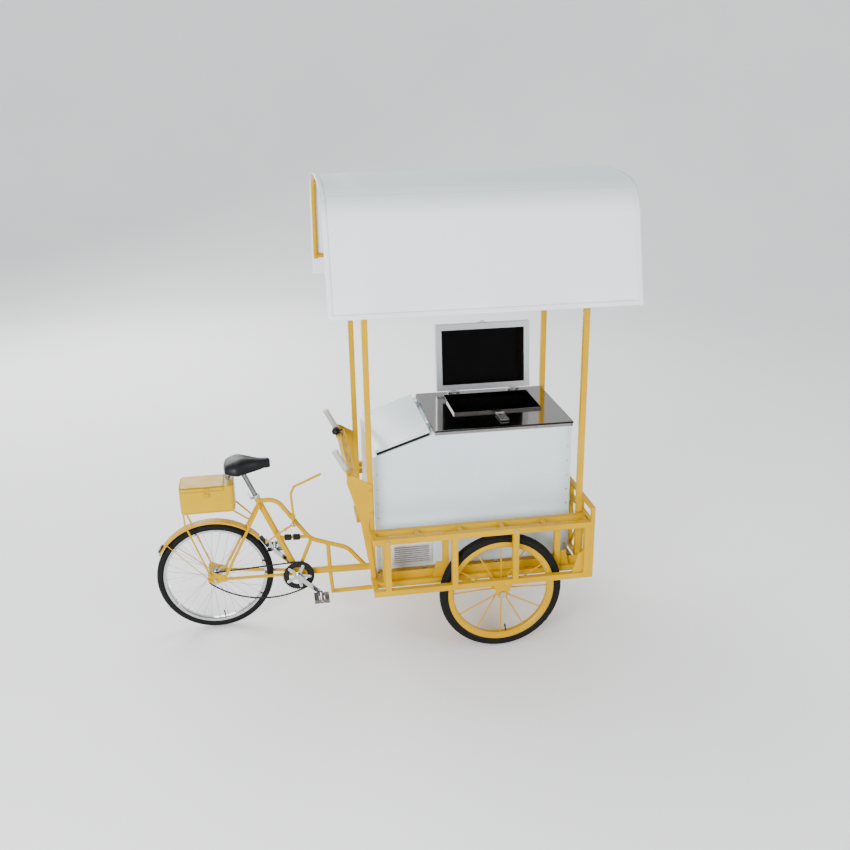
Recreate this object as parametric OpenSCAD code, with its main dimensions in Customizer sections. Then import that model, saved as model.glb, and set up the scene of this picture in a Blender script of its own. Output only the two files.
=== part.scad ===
// Pedal-driven vending cart: a cold cabinet and its canopy ride on a two-wheeled
// platform that steers about a kingpin, pushed by the rear half of a bicycle.
// Millimetres. +X is forward, +Y is the left side, +Z is up. The origin is on the
// ground, below the middle of the cart's box.

/* [Wheels] */
// Outer diameter of the rear wheel
rear_wheel_d = 660; // [560:10:800]
// Width of the rear tyre
rear_tyre_w = 46; // [36:1:56]
// Outer diameter of each front wheel
front_wheel_d = 690; // [570:10:830]
// Width of each front tyre
front_tyre_w = 56; // [44:1:66]
// Number of spokes in the rear wheel
rear_spokes_n = 36; // [20:4:44]
// Number of spokes in each front wheel
front_spokes_n = 12; // [8:2:16]

/* [Cold cabinet] */
// Length of the cabinet, front to back
cabinet_l = 1100; // [910:10:1320]
// Width of the cabinet
cabinet_w = 660; // [550:10:800]
// Height of the cabinet, from the deck to the top of the worktop
cabinet_h = 800; // [660:10:960]
// Length of the sloped rear part, measured along the deck
slope_l = 335; // [280:5:400]
// Height lost by the slope at the rear wall
slope_drop = 110; // [80:5:150]
// Thickness of the outer sheet
skin_t = 3; // [2:0.5:5]
// Thickness of the foam round the liner
foam_t = 55; // [40:5:70]
// Length of the serving opening in the worktop
well_l = 500; // [400:10:600]
// Width of the serving opening in the worktop
well_w = 330; // [260:10:400]
// Distance of the opening's middle from the cart's middle, towards the left
well_y = 75; // [20:5:110]
// How far the main lid laps over the opening on each side
lid_lip = 32; // [20:1:45]
// Thickness of the main lid
lid_t = 40; // [25:1:60]
// Angle at which the main lid rests open
lid_open = 95; // [90:1:105]

/* [Platform] */
// Side of the square tube in the platform and its guards
rail = 32; // [25:1:40]
// Side of the square tube in the canopy's posts
post = 30; // [24:1:36]
// Gap between the cabinet and the tubes beside it
side_gap = 52; // [45:1:70]
// Height of the platform's tubes above the front axle
frame_rise = 60; // [50:1:80]
// Gap between each front tyre and the guard tubes beside it
tyre_gap = 6; // [5:1:20]
// Height of the toe plate above the deck
toe_h = 40; // [20:1:60]
// Distance from the front axle to the front of the platform
axle_setback = 485; // [400:5:560]
// Distance of the kingpin behind the front axle
kingpin_setback = 85; // [40:5:150]
// Height of the front guard above the side guards
front_guard_rise = 83; // [40:1:120]

/* [Canopy] */
// Half of the canopy's width at its hem
canopy_half_w = 613; // [570:1:740]
// Height of the hem above the worktop
hem_rise = 694; // [560:1:830]
// Length of the straight leg of the canopy's outline
leg_l = 471; // [400:1:560]
// Lean of the canopy's sides, in degrees
leg_lean = 15; // [8:1:20]
// Radius of the canopy's shoulders
shoulder_r = 190; // [140:1:230]
// Half angle of the crown, in degrees
crown_half = 8; // [5:0.5:12]
// How far the canopy stands out behind the platform
canopy_rear_out = 177; // [100:1:250]
// How far the canopy stands out in front of the platform
canopy_front_out = 210; // [100:1:280]
// Diameter of the canopy frame's round tube
hoop_d = 25; // [19:1:32]
// Thickness of the canopy's cover
cover_t = 4; // [3:0.5:6]
// Drop of the hem below the foot rail
hem_drop = 120; // [60:1:160]

/* [Rear bicycle] */
// Distance from the rear tyre to the crank axis
bb_gap = 140; // [125:1:170]
// Distance of the crank axis below the rear axle
bb_drop = 27; // [0:1:60]
// Distance from the crank axis to the platform
rider_room = 388; // [380:1:460]
// Length of the seat tube
seat_tube_l = 510; // [480:1:560]
// Lean of the seat tube, in degrees
seat_lean = 22.5; // [18:0.5:26]
// Length of each crank
crank_l = 170; // [140:1:175]
// Teeth on the chainring
ring_teeth = 44; // [36:1:48]
// Teeth on the rear sprocket
sprocket_teeth = 20; // [14:1:24]
// Radius of the slack lower run of the chain
chain_sag_r = 500; // [460:10:700]
// Length of the toolbox
toolbox_l = 297; // [240:1:330]
// Width of the toolbox
toolbox_w = 184; // [150:1:200]
// Height of the toolbox
toolbox_h = 150; // [110:1:180]

/* [Handle] */
// Height of the handle's cross tube above the ground
handle_z = 1030; // [960:5:1100]
// Distance of the cross tube behind the platform
handle_reach = 88; // [70:1:120]
// Diameter of the handle's cross tube
handle_d = 34; // [28:1:38]

/* [Hidden] */
$fn = 48;
fit = 0.05;
gap = 0.3;
pitch = 12.7;

rear_r = rear_wheel_d / 2;
front_r = front_wheel_d / 2;

// Places along the cart
platform_rear_gap = 42;
platform_front_gap = 50;
platform_l = cabinet_l + platform_rear_gap + platform_front_gap;
boom_reach = rear_r + bb_gap + rider_room;
rear_axle_x = (rear_r - boom_reach - platform_l - canopy_front_out) / 2;
platform_rear = rear_axle_x + boom_reach;
platform_front = platform_rear + platform_l;
front_axle_x = platform_front - axle_setback;
kingpin_x = front_axle_x - kingpin_setback;
canopy_rear = platform_rear - canopy_rear_out;
canopy_front = platform_front + canopy_front_out;
cabinet_rear = platform_rear + platform_rear_gap;
cabinet_front = cabinet_rear + cabinet_l;
slope_x = cabinet_rear + slope_l;
post_rear_x = platform_rear + post / 2;
post_front_x = platform_front - post / 2;
bb_x = rear_axle_x + rear_r + bb_gap;

// Places across the cart
half_cab = cabinet_w / 2;
post_y = half_cab + side_gap + post / 2;
inner_y = post_y + post / 2 + 34 + rail / 2;
wheel_y = inner_y + rail / 2 + tyre_gap + front_tyre_w / 2;
outer_y = wheel_y + front_tyre_w / 2 + tyre_gap + rail / 2;

// Heights
frame_z = front_r + frame_rise;
deck_t = 3;
toe_t = 4;
deck_z = frame_z + rail + deck_t;
worktop_z = deck_z + cabinet_h;
slope_z = worktop_z - slope_drop;
guard_z = front_wheel_d + 20 + rail;
front_guard_z = guard_z + front_guard_rise;
hem_z = worktop_z + hem_rise;
bb_z = rear_r - bb_drop;

// Canopy outline: one leg, one shoulder and half of the crown
leg_top = [canopy_half_w - leg_l * sin(leg_lean), hem_z + leg_l * cos(leg_lean)];
crown_r = (leg_top[0] - shoulder_r * (cos(leg_lean) - sin(crown_half))) / sin(crown_half);
shoulder_c = leg_top - shoulder_r * [cos(leg_lean), sin(leg_lean)];
crown_c = shoulder_c - (crown_r - shoulder_r) * [sin(crown_half), cos(crown_half)];
function on_arc(c, r, a) = c + r * [cos(a), sin(a)];
// Half of the outline, from the hem to the crest, moved inwards by an inset
function half_outline(inset) = concat(
    [[canopy_half_w, hem_z] - inset * [cos(leg_lean), sin(leg_lean)]],
    [for (i = [0 : 8])
        on_arc(shoulder_c, shoulder_r - inset, leg_lean + i * (90 - crown_half - leg_lean) / 8)],
    [for (i = [1 : 4]) on_arc(crown_c, crown_r - inset, 90 - crown_half + i * crown_half / 4)]);
function mirrored(points) = [for (i = [len(points) - 2 : -1 : 0]) [-points[i][0], points[i][1]]];
function outline(inset) = let(h = half_outline(inset)) concat(h, mirrored(h));
hoop_inset = cover_t + 1.1 + hoop_d / 2;
hoop_leg_l = leg_l - hem_drop;
hoop_foot = leg_top - hoop_inset * [cos(leg_lean), sin(leg_lean)]
    + hoop_leg_l * [sin(leg_lean), -cos(leg_lean)];
// Height of the hoop's centre line above a point in its shoulder
function hoop_z(y) = shoulder_c[1] + sqrt(pow(shoulder_r - hoop_inset, 2) - pow(y - shoulder_c[0], 2));
purlin_z = hoop_z(post_y) - hoop_d / 2;
cap_t = 6;
cap_z = purlin_z - hoop_d / 2 + 2 - cap_t;

// Rear bicycle
seat_dir = [-sin(seat_lean), 0, cos(seat_lean)];
bb = [bb_x, 0, bb_z];
rear_axle = [rear_axle_x, 0, rear_r];
seat_top = bb + seat_tube_l * seat_dir;
seat_tube_d = 34;
seat_post_d = 27;
boom_z = 285;
boom_d = 40;
lower_z = 155;
lower_d = 26;
head_d = 60;
head_bore_d = 40;
head_low = 128;
bush_flange_t = 5;
kingpin_d = 30;
pivot_plate_t = 10;
head_top = frame_z - pivot_plate_t - bush_flange_t - gap;
stay_d = 16;
chainstay_d = 18;
dropout_y = 62;
dropout_t = 6;
stay_top_y = 36;
axle_d = 10;
leg_y = 78;
top_tube_d = 26;
// The curved tube in front of the seat: length, turn and bend radius of each stretch
top_tube_start = seat_top + [6, 0, 0];
top_tube_runs = [[45, -56, 90], [232, 36, 120], [156, -32, 110]];
function heading(i) = i == 0 ? 0 : heading(i - 1) + top_tube_runs[i - 1][1];
function dir(a) = [cos(a), 0, sin(a)];
function bend_from(i) = run_start(i) + top_tube_runs[i][0] * dir(heading(i));
function bend_side(i) = top_tube_runs[i][1] > 0 ? 1 : -1;
function bend_centre(i) = bend_from(i) + top_tube_runs[i][2] * bend_side(i) * dir(heading(i) + 90);
function run_start(i) = i == 0 ? top_tube_start
    : bend_centre(i - 1) - top_tube_runs[i - 1][2] * bend_side(i - 1) * dir(heading(i) + 90);
last_run = run_start(3);
function boom_at(x) = bb_z + (boom_z - bb_z) * (x - bb_x) / (kingpin_x - bb_x);
last_run_l = (last_run[2] - boom_at(last_run[0])) / -sin(heading(3)) - 6;

// Chain line
chain_y = -50;
ring_r = pitch / 2 / sin(180 / ring_teeth);
sprocket_r = pitch / 2 / sin(180 / sprocket_teeth);
roller_d = 8;
tooth_t = 2.4;
chain_h = 8.6;
chain_w = 9;
chain_slot = 3.4;
shaft_gap = norm([bb_x - rear_axle_x, bb_z - rear_r]);
shaft_tilt = atan2(bb_z - rear_r, bb_x - rear_axle_x);
top_run_turn = asin((ring_r - sprocket_r) / shaft_gap);
sag_s = chain_sag_r - sprocket_r;
sag_k = chain_sag_r - ring_r;
sag_along = (sag_s * sag_s - sag_k * sag_k + shaft_gap * shaft_gap) / (2 * shaft_gap);
sag_c = [sag_along, sqrt(sag_s * sag_s - sag_along * sag_along)];
sag_from = atan2(-sag_c[1], -sag_c[0]);
sag_to = atan2(-sag_c[1], shaft_gap - sag_c[0]);

// Spoon brake: the hand lever turns on the curved tube and pushes the rod to the tyre
brake_y = -34;
rod_d = 10;
lever_d = 14;
lever_pin_d = 8;
eye_hole_d = 20;
lever_arm = 45;
brake_a = 33;
brake_gap = 8;
pad_t = 12;
pad_tip = rear_axle + (rear_r + brake_gap) * dir(brake_a);
lever_pivot = bend_from(1) - 148 * dir(heading(1)) + 19 * dir(heading(1) + 90);
rod_top = lever_pivot - [1, 0, lever_arm];
rod_base = pad_tip + (pad_t + 10) * dir(brake_a);
rod_dir = (rod_base - rod_top) / norm(rod_base - rod_top);
rod_tilt = atan2(-rod_dir[2], -rod_dir[0]);

// Saddle
saddle_clamp = seat_top + 215 * seat_dir;
saddle_base_z = saddle_clamp[2] + 14;

// Toolbox and its rack
rack_z = rear_wheel_d + 102;
rack_rod = 10;
toolbox_floor = rack_z + rack_rod / 2 + 1;
toolbox_x = rear_axle_x - 1;
toolbox_top = toolbox_floor + toolbox_h;
toolbox_lid_t = 24;
toolbox_lid_l = toolbox_l - 54;
toolbox_wall = 3;
toolbox_r = 24;
toolbox_hinge = [toolbox_x - toolbox_l / 2 + toolbox_lid_l / 2, toolbox_w / 2 + 6,
    toolbox_top - toolbox_lid_t];

// Fender
fender_r = rear_r + 14;
fender_t = 2;
fender_w = 60;
fender_from = 40;
fender_to = 151;

// Front wheels
front_axle_d = 20;
hub_half = 30;
axle_plate_t = 6;
rim_w = 40;
rim_bed = front_r - 46;
rim_in = rim_bed - 34;
front_spoke_d = 8;

// Rear wheel
rear_rim_bed = rear_r - 38;
rear_rim_in = rear_rim_bed - 17;
rear_hub_half = 54;

// Cabinet
top_t = 18;
top_out = 4;
sheet_t = 3;
lip_h = 12;
lip_t = 3;
foam_x = slope_x + 12;
liner_t = 2;
liner_low = deck_z + skin_t + foam_t + liner_t;
liner_top = worktop_z - top_t;
well_x = (foam_x + cabinet_front) / 2 + 18;
lid_l = well_l + 2 * lid_lip;
lid_w = well_w + 2 * lid_lip;
lid_axis = [well_x, well_y + well_w / 2 + lid_lip + 8, worktop_z + lip_h + 2];
lid_frame_w = 34;
hinge_r = 6;
hinge_pin_d = 6;
hinge_l = 70;
hinge_spread = lid_l * 0.32;
hasp_l = 48;
hasp_y = lid_axis[1] - 8 - lid_w - 15;
hasp_reach = 120;
hasp_slot = 27;
slope_a = atan2(slope_drop, slope_l);
slope_len = norm([slope_l, slope_drop]);
slope_u = [cos(slope_a), 0, sin(slope_a)];
slope_n = [-sin(slope_a), 0, cos(slope_a)];
gasket_h = 15;
gasket_w = 18;
rear_lid_w = cabinet_w - 16;
rear_lid_l = slope_len - 42;
rear_lid_t = 14;
rear_lid_drop = 11;
rear_lid_axis = [slope_x, 0, worktop_z - top_t] - 8 * slope_u
    + (gasket_h + rear_lid_drop + gap) * slope_n;
rear_hinge_y = rear_lid_w * 0.3;
grille_l = 226;
grille_h = 130;
grille_x = cabinet_rear + 200;
grille_z = deck_z + 20;
slats_n = 8;

// Handle
handle_x = platform_rear - handle_reach;
bracket_t = 6;
bracket_y = post_y;
grip_y = 345;
grip_a = 117;
grip_l = 150;
grip_d = 32;
stem_d = 24;
bell_d = 52;

yellow = [0.93, 0.72, 0.13];
dark_steel = [0.25, 0.25, 0.27];
steel = [0.72, 0.73, 0.75];
chrome = [0.85, 0.86, 0.88];
white = [0.93, 0.95, 0.97];
black = [0.06, 0.06, 0.07];

// A round bar from one point to another
module bar(from, to, d) {
    v = to - from;
    translate(from) rotate([0, acos(v[2] / norm(v)), atan2(v[1], v[0])]) cylinder(h = norm(v), d = d);
}

// A weld bead that closes the joint between two lengths of round bar, at a heading in X and Z
module bead(p, d, h = 90) {
    translate(p) rotate([0, 90 - h, 0]) sphere(d = d + 1.5);
}

// A box given by two opposite corners
module block(low, high) {
    translate(low) cube(high - low);
}

// A shaft along Y, centred on a point
module cross_shaft(centre, half, d) {
    translate(centre) rotate([90, 0, 0]) cylinder(h = 2 * half, d = d, center = true);
}

// An arc of round bar in the upright plane along the cart
module upright_arc(centre, r, from, turn, d) {
    translate(centre) rotate([90, 0, 0]) rotate([0, 0, turn > 0 ? from : from + turn])
        rotate_extrude(angle = abs(turn)) translate([r, 0]) circle(d = d);
}

// An upright plate lying along the cart, drawn in X and Z
module side_plate(y, t) {
    translate([0, y + t / 2, 0]) rotate([90, 0, 0]) linear_extrude(t) children();
}

module on_both_sides() {
    children();
    mirror([0, 1, 0]) children();
}

module for_hinges(centre, spread) {
    for (side = [-1, 1]) translate(centre + [side * spread, 0, 0]) children();
}

// The knuckles that stay, with their pin, on an axis along X
module fixed_knuckles(l) {
    for (side = [-1, 1]) translate([side * l / 3, 0, 0]) rotate([0, 90, 0])
        cylinder(h = l / 3 - 2 * gap, r = hinge_r, center = true);
    rotate([0, 90, 0]) cylinder(h = l, d = hinge_pin_d, center = true);
}

// The middle knuckle that turns, without its leaf
module moving_knuckle(l) {
    rotate([0, 90, 0]) cylinder(h = l / 3 - 2 * gap, r = hinge_r, center = true);
}

module moving_bore(l) {
    rotate([0, 90, 0]) cylinder(h = l, d = hinge_pin_d + 2 * fit, center = true);
}

function rounded(l, w, r, n = 6) = [for (q = [0 : 3]) for (i = [0 : n])
    let(a = q * 90 + i * 90 / n)
    [((q == 0 || q == 3) ? 1 : -1) * (l / 2 - r) + r * cos(a),
        ((q < 2) ? 1 : -1) * (w / 2 - r) + r * sin(a)]];

// --- Platform -------------------------------------------------------------

cross_members = [platform_rear + 32, kingpin_x - 330, kingpin_x - 110, kingpin_x + 78,
    (kingpin_x + platform_front) / 2 + 30, platform_front - post - rail];

module platform_frame() color(yellow) {
    on_both_sides() {
        block([platform_rear, inner_y - rail / 2, frame_z],
            [platform_front, inner_y + rail / 2, frame_z + rail]);
        block([platform_rear + 90, inner_y - rail / 2 - toe_t, frame_z + 6],
            [platform_front, inner_y - rail / 2 + 3, frame_z + rail - 1]);
        block([platform_rear + 90, inner_y - rail / 2 - toe_t, frame_z + 6],
            [platform_front, inner_y - rail / 2, deck_z + toe_h]);
        axle_plate(inner_y);
        for (x = [post_rear_x, post_front_x]) block([x - post / 2, post_y - post / 2, frame_z],
            [x + post / 2, inner_y, frame_z + rail]);
    }
    for (x = cross_members) block([x, -inner_y, frame_z], [x + rail, inner_y, frame_z + rail]);
    difference() {
        block([kingpin_x - 110, -120, frame_z - pivot_plate_t], [kingpin_x + 110, 120, frame_z]);
        translate([kingpin_x, 0, frame_z - pivot_plate_t - 1])
            cylinder(h = pivot_plate_t + 2, d = kingpin_d + 2 * fit);
    }
}

module platform_deck() color([0.55, 0.56, 0.58])
    block([platform_rear + 32, -(inner_y - rail / 2 - toe_t), deck_z - deck_t],
        [platform_front - post - gap, inner_y - rail / 2 - toe_t, deck_z]);

// Uprights of a side guard: distance behind or ahead of the front axle
outer_uprights = [-629, -267, 69];
rungs_n = 5;
inner_uprights = [-629, -300, 330];

module axle_plate(y) side_plate(y, axle_plate_t) difference() {
    polygon([[front_axle_x - 55, frame_z + 4], [front_axle_x - 26, front_r - 22],
        [front_axle_x + 26, front_r - 22], [front_axle_x + 55, frame_z + 4]]);
    translate([front_axle_x, front_r]) circle(d = front_axle_d + 2 * fit);
}

module side_guard() {
    half = rail / 2;
    low = [frame_z, frame_z + rail];
    high = [guard_z - rail, guard_z];
    block([platform_rear, outer_y - half, low[0]], [platform_front, outer_y + half, low[1]]);
    block([platform_rear, outer_y - half, high[0]], [platform_front, outer_y + half, high[1]]);
    block([platform_rear, inner_y - half, high[0]], [platform_front, inner_y + half, high[1]]);
    for (x = outer_uprights) block([front_axle_x + x - half, outer_y - half, low[0]],
        [front_axle_x + x + half, outer_y + half, high[1]]);
    block([platform_front - rail, outer_y - half, low[0]], [platform_front, outer_y + half, high[1]]);
    for (x = inner_uprights) block([front_axle_x + x - half, inner_y - half, low[1]],
        [front_axle_x + x + half, inner_y + half, high[1]]);
    step = (platform_l - rail) / rungs_n;
    for (i = [0 : rungs_n]) block([platform_rear + i * step, inner_y, high[0] + 4],
        [platform_rear + i * step + rail * 0.75, outer_y, high[1] - 2]);
    for (x = [platform_rear, platform_front - rail]) block([x, inner_y + half, low[0] + 2],
        [x + rail * 0.8, outer_y, low[1] - 2]);
    side_plate(outer_y, 5) polygon([[platform_front - rail - 62, low[1] - 2],
        [platform_front - rail + 2, low[1] - 2], [platform_front - rail + 2, low[1] + 130],
        [platform_front - rail - 30, low[1] + 110]]);
    for (x = [-332, 362]) side_plate(inner_y, 5) polygon([
        [front_axle_x + x - 40, low[1]], [front_axle_x + x + 40, low[1]],
        [front_axle_x + x + 20, low[1] + 90], [front_axle_x + x - 20, low[1] + 90]]);
    axle_plate(outer_y);
}

module side_guard_left() color(yellow) side_guard();

module side_guard_right() color(yellow) mirror([0, 1, 0]) side_guard();

bays_n = 6;

// A flat strip across the front guard, from one point in Y and Z to another
module strip(from, to, x) {
    translate([x, from[0], from[1]]) rotate([atan2(to[1] - from[1], to[0] - from[0]), 0, 0])
        block([0, 0, -7], [8, norm(to - from), 7]);
}

module front_guard() color(yellow) {
    x = platform_front;
    t = 22;
    w = 2 * outer_y + rail;
    bay = (w - t) / bays_n;
    low = frame_z + 10;
    high = guard_z - 10;
    for (z = [frame_z, guard_z - t, front_guard_z - t]) block([x, -w / 2, z], [x + t, w / 2, z + t]);
    for (i = [0 : bays_n]) block([x + 0.5, -w / 2 + i * bay, frame_z + 1],
        [x + t - 0.5, -w / 2 + i * bay + t, front_guard_z - 1]);
    for (i = [0 : bays_n - 1]) {
        y = -w / 2 + t / 2 + i * bay;
        strip([y, low], [y + bay, high], x + 3);
        strip([y, high], [y + bay, low], x + 9);
    }
}

module front_axles() color(steel) on_both_sides() {
    cross_shaft([front_axle_x, wheel_y, front_r], outer_y - wheel_y + 16, front_axle_d);
    spacer = outer_y - wheel_y - axle_plate_t / 2 - hub_half - 0.5;
    nut = outer_y - wheel_y + axle_plate_t / 2;
    for (side = [-1, 1]) {
        cross_shaft([front_axle_x, wheel_y + side * (hub_half + 0.5 + spacer / 2), front_r],
            spacer / 2, 28);
        cross_shaft([front_axle_x, wheel_y + side * (nut + 6), front_r], 6, 34);
    }
}

module frame_bolts() color(steel) {
    for (side = [-1, 1]) for (x = cross_members)
        translate([x + rail / 2, side * (half_cab + 26), deck_z]) cylinder(h = 8, d = 18, $fn = 6);
    for (side = [-1, 1]) for (x = [-629, 69]) translate(
        [front_axle_x + x, side * (outer_y + rail / 2), guard_z - rail / 2])
        rotate([-side * 90, 0, 0]) cylinder(h = 6, d = 16, $fn = 6);
}

// --- Steering pivot -----------------------------------------------------

module kingpin() color(steel) {
    low = head_low - bush_flange_t - gap;
    translate([kingpin_x, 0, low - 26]) cylinder(h = frame_z - low + 26, d = kingpin_d);
    translate([kingpin_x, 0, frame_z]) cylinder(h = 12, d = 50, $fn = 6);
    translate([kingpin_x, 0, low - 4]) cylinder(h = 4, d = 52);
    translate([kingpin_x, 0, low - 24]) cylinder(h = 20, d = 46, $fn = 6);
}

module kingpin_bushes() color([0.72, 0.55, 0.25]) for (top = [false, true])
    translate([kingpin_x, 0, top ? head_top : head_low]) mirror([0, 0, top ? 0 : 1]) difference() {
        union() {
            cylinder(h = bush_flange_t, d = head_d - 4);
            translate([0, 0, -30]) cylinder(h = 31, d = head_bore_d);
        }
        translate([0, 0, -31]) cylinder(h = 40, d = kingpin_d + 2 * fit);
    }

// --- Canopy ---------------------------------------------------------------

module canopy_posts() color(yellow) on_both_sides() for (x = [post_rear_x, post_front_x])
    block([x - post / 2, post_y - post / 2, frame_z + rail], [x + post / 2, post_y + post / 2, cap_z]);

hoop_end = 22;
hoops = [canopy_rear + hoop_end, post_rear_x, (canopy_rear + canopy_front) / 2, post_front_x,
    canopy_front - hoop_end];

module hoop(x) {
    r = shoulder_r - hoop_inset;
    low = [x, shoulder_c[0] + r * cos(leg_lean), shoulder_c[1] + r * sin(leg_lean)];
    high = [x, shoulder_c[0] + r * sin(crown_half), shoulder_c[1] + r * cos(crown_half)];
    foot = [x, hoop_foot[0], hoop_foot[1]];
    on_both_sides() {
        bar(foot + [0, sin(leg_lean), -cos(leg_lean)] * hoop_d * 0.55, low, hoop_d);
        bead(low, hoop_d);
        translate(high) rotate([90, 0, 0]) bead([0, 0, 0], hoop_d);
        translate([x, shoulder_c[0], shoulder_c[1]]) rotate([90, 0, 90]) rotate([0, 0, leg_lean])
            rotate_extrude(angle = 90 - crown_half - leg_lean) translate([r, 0]) circle(d = hoop_d);
    }
    translate([x, 0, crown_c[1]]) rotate([90, 0, 90]) rotate([0, 0, 90 - crown_half])
        rotate_extrude(angle = 2 * crown_half) translate([crown_r - hoop_inset, 0]) circle(d = hoop_d);
}

module canopy_frame() color(yellow) {
    for (x = hoops) hoop(x);
    on_both_sides() {
        bar([hoops[0], hoop_foot[0], hoop_foot[1]], [hoops[4], hoop_foot[0], hoop_foot[1]], hoop_d - 2);
        bar([hoops[0], post_y, purlin_z], [hoops[4], post_y, purlin_z], hoop_d - 1);
        for (x = [post_rear_x, post_front_x])
            block([x - 35, post_y - 20, cap_z], [x + 35, post_y + 20, cap_z + cap_t]);
    }
    ridge_z = crown_c[1] + crown_r - hoop_inset - 3;
    bar([hoops[0], 0, ridge_z], [hoops[4], 0, ridge_z], hoop_d - 6);
}

module canopy_cover() color(white) translate([canopy_rear, 0, 0]) rotate([90, 0, 90])
    linear_extrude(canopy_front - canopy_rear) polygon(concat(outline(0),
        [for (i = [len(outline(cover_t)) - 1 : -1 : 0]) outline(cover_t)[i]]));

// --- Cabinet ----------------------------------------------------------------

// Side outline of the cabinet, inset all round, in X and Z
module cabinet_outline(inset, top) polygon([
    [cabinet_rear + inset, deck_z + inset],
    [cabinet_front - inset, deck_z + inset],
    [cabinet_front - inset, top],
    [slope_x, top],
    [cabinet_rear + inset, slope_z - (worktop_z - top) - inset * tan(slope_a)]]);

module on_slope(along) translate([slope_x, 0, worktop_z - top_t]) rotate([0, -slope_a, 0])
    translate([-along, 0, 0]) children();

inlet_place = [cabinet_rear, 210, deck_z + 90];

module cabinet_shell() color(white) difference() {
    side_plate(0, cabinet_w) cabinet_outline(0, worktop_z - top_t);
    side_plate(0, cabinet_w - 2 * skin_t) difference() {
        cabinet_outline(skin_t, worktop_z - top_t - skin_t);
        translate([slope_x, deck_z]) square([skin_t, cabinet_h]);
    }
    block([foam_x, -half_cab + skin_t, worktop_z - top_t - 2 * skin_t],
        [cabinet_front - skin_t, half_cab - skin_t, worktop_z]);
    on_slope(slope_len - 50) translate([0, -rear_lid_w / 2 + 40, -3 * skin_t])
        cube([slope_len - 110, rear_lid_w - 80, 6 * skin_t]);
    block([grille_x - grille_l / 2 + 12, -half_cab - 1, grille_z + 12],
        [grille_x + grille_l / 2 - 12, -half_cab + skin_t + 1, grille_z + grille_h - 12]);
    translate(inlet_place) block([-1, -18, -16], [skin_t + 1, 18, 16]);
}

module cabinet_insulation() color([0.93, 0.85, 0.6]) difference() {
    block([foam_x, -half_cab + skin_t, deck_z + skin_t],
        [cabinet_front - skin_t, half_cab - skin_t, liner_top]);
    block([foam_x + foam_t, -half_cab + skin_t + foam_t, liner_low - liner_t],
        [cabinet_front - skin_t - foam_t, half_cab - skin_t - foam_t, liner_top + 1]);
}

module cabinet_liner() color(steel) difference() {
    block([foam_x + foam_t, -half_cab + skin_t + foam_t, liner_low - liner_t],
        [cabinet_front - skin_t - foam_t, half_cab - skin_t - foam_t, liner_top]);
    block([foam_x + foam_t + liner_t, -half_cab + skin_t + foam_t + liner_t, liner_low],
        [cabinet_front - skin_t - foam_t - liner_t, half_cab - skin_t - foam_t - liner_t, liner_top + 1]);
}

module cabinet_worktop() color(steel) {
    difference() {
        block([slope_x + skin_t, -half_cab - top_out, worktop_z - top_t - 8],
            [cabinet_front + top_out, half_cab + top_out, worktop_z]);
        block([slope_x - 1, -half_cab, worktop_z - top_t - 9],
            [cabinet_front, half_cab, worktop_z - sheet_t]);
        block([well_x - well_l / 2, well_y - well_w / 2, worktop_z - top_t],
            [well_x + well_l / 2, well_y + well_w / 2, worktop_z + 1]);
    }
    difference() {
        block([well_x - well_l / 2 - lip_t, well_y - well_w / 2 - lip_t, worktop_z - top_t],
            [well_x + well_l / 2 + lip_t, well_y + well_w / 2 + lip_t, worktop_z + lip_h]);
        block([well_x - well_l / 2, well_y - well_w / 2, worktop_z - top_t - 1],
            [well_x + well_l / 2, well_y + well_w / 2, worktop_z + lip_h + 1]);
    }
}

module slope_gasket() color(black) on_slope(8) difference() {
    block([-rear_lid_l - 8, -rear_lid_w / 2 + 2, 0], [-16, rear_lid_w / 2 - 2, gasket_h]);
    block([-rear_lid_l - 8 + gasket_w, -rear_lid_w / 2 + 2 + gasket_w, -1],
        [-16 - gasket_w, rear_lid_w / 2 - 2 - gasket_w, gasket_h + 1]);
}

module louvre_grille() color(steel) {
    x0 = grille_x - grille_l / 2;
    difference() {
        block([x0, -half_cab - 5, grille_z], [x0 + grille_l, -half_cab, grille_z + grille_h]);
        block([x0 + 14, -half_cab - 6, grille_z + 14],
            [x0 + grille_l - 14, -half_cab + 1, grille_z + grille_h - 14]);
    }
    step = (grille_h - 28) / slats_n;
    for (i = [0 : slats_n - 1]) translate([x0 + 12, -half_cab - 5, grille_z + 14 + (i + 0.4) * step])
        rotate([35, 0, 0]) translate([0, 0, -1]) cube([grille_l - 24, 9, 1.6]);
}

module compressor() color(black) translate([cabinet_rear + 120, 150, deck_z + skin_t]) {
    block([-90, -85, 0], [90, 85, 6]);
    for (x = [-70, 70]) for (y = [-65, 65]) translate([x, y, 6]) cylinder(h = 14, d = 24);
    block([-85, -80, 20], [85, 80, 24]);
    translate([0, 0, 24]) cylinder(h = 110, d = 150);
    translate([0, 0, 134]) rotate_extrude() intersection() {
        translate([0, -50]) circle(r = 90);
        square([75, 60]);
    }
    translate([60, 0, 60]) block([0, -35, 0], [32, 35, 60]);
}

module condenser_coil() color([0.2, 0.2, 0.22]) {
    y0 = -half_cab + skin_t + 22;
    x0 = grille_x - 90;
    z0 = deck_z + skin_t;
    rows = 4;
    for (side = [0, 1]) block([x0 + side * 176, y0, z0], [x0 + side * 176 + 4, y0 + 50, z0 + 150]);
    for (i = [0 : 17]) block([x0 + 9 + i * 9.2, y0, z0 + 12], [x0 + 10.2 + i * 9.2, y0 + 50, z0 + 148]);
    for (i = [0 : rows - 1]) translate([x0 - 12, y0 + 25, z0 + 32 + i * 32]) rotate([0, 90, 0])
        cylinder(h = 204, d = 9);
    for (i = [0 : rows - 2]) translate([x0 + (i % 2 == 0 ? 192 : -12), y0 + 25, z0 + 48 + i * 32])
        rotate([90, 0, 0]) rotate([0, 0, i % 2 == 0 ? -90 : 90])
        rotate_extrude(angle = 180) translate([16, 0]) circle(d = 9);
}

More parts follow.
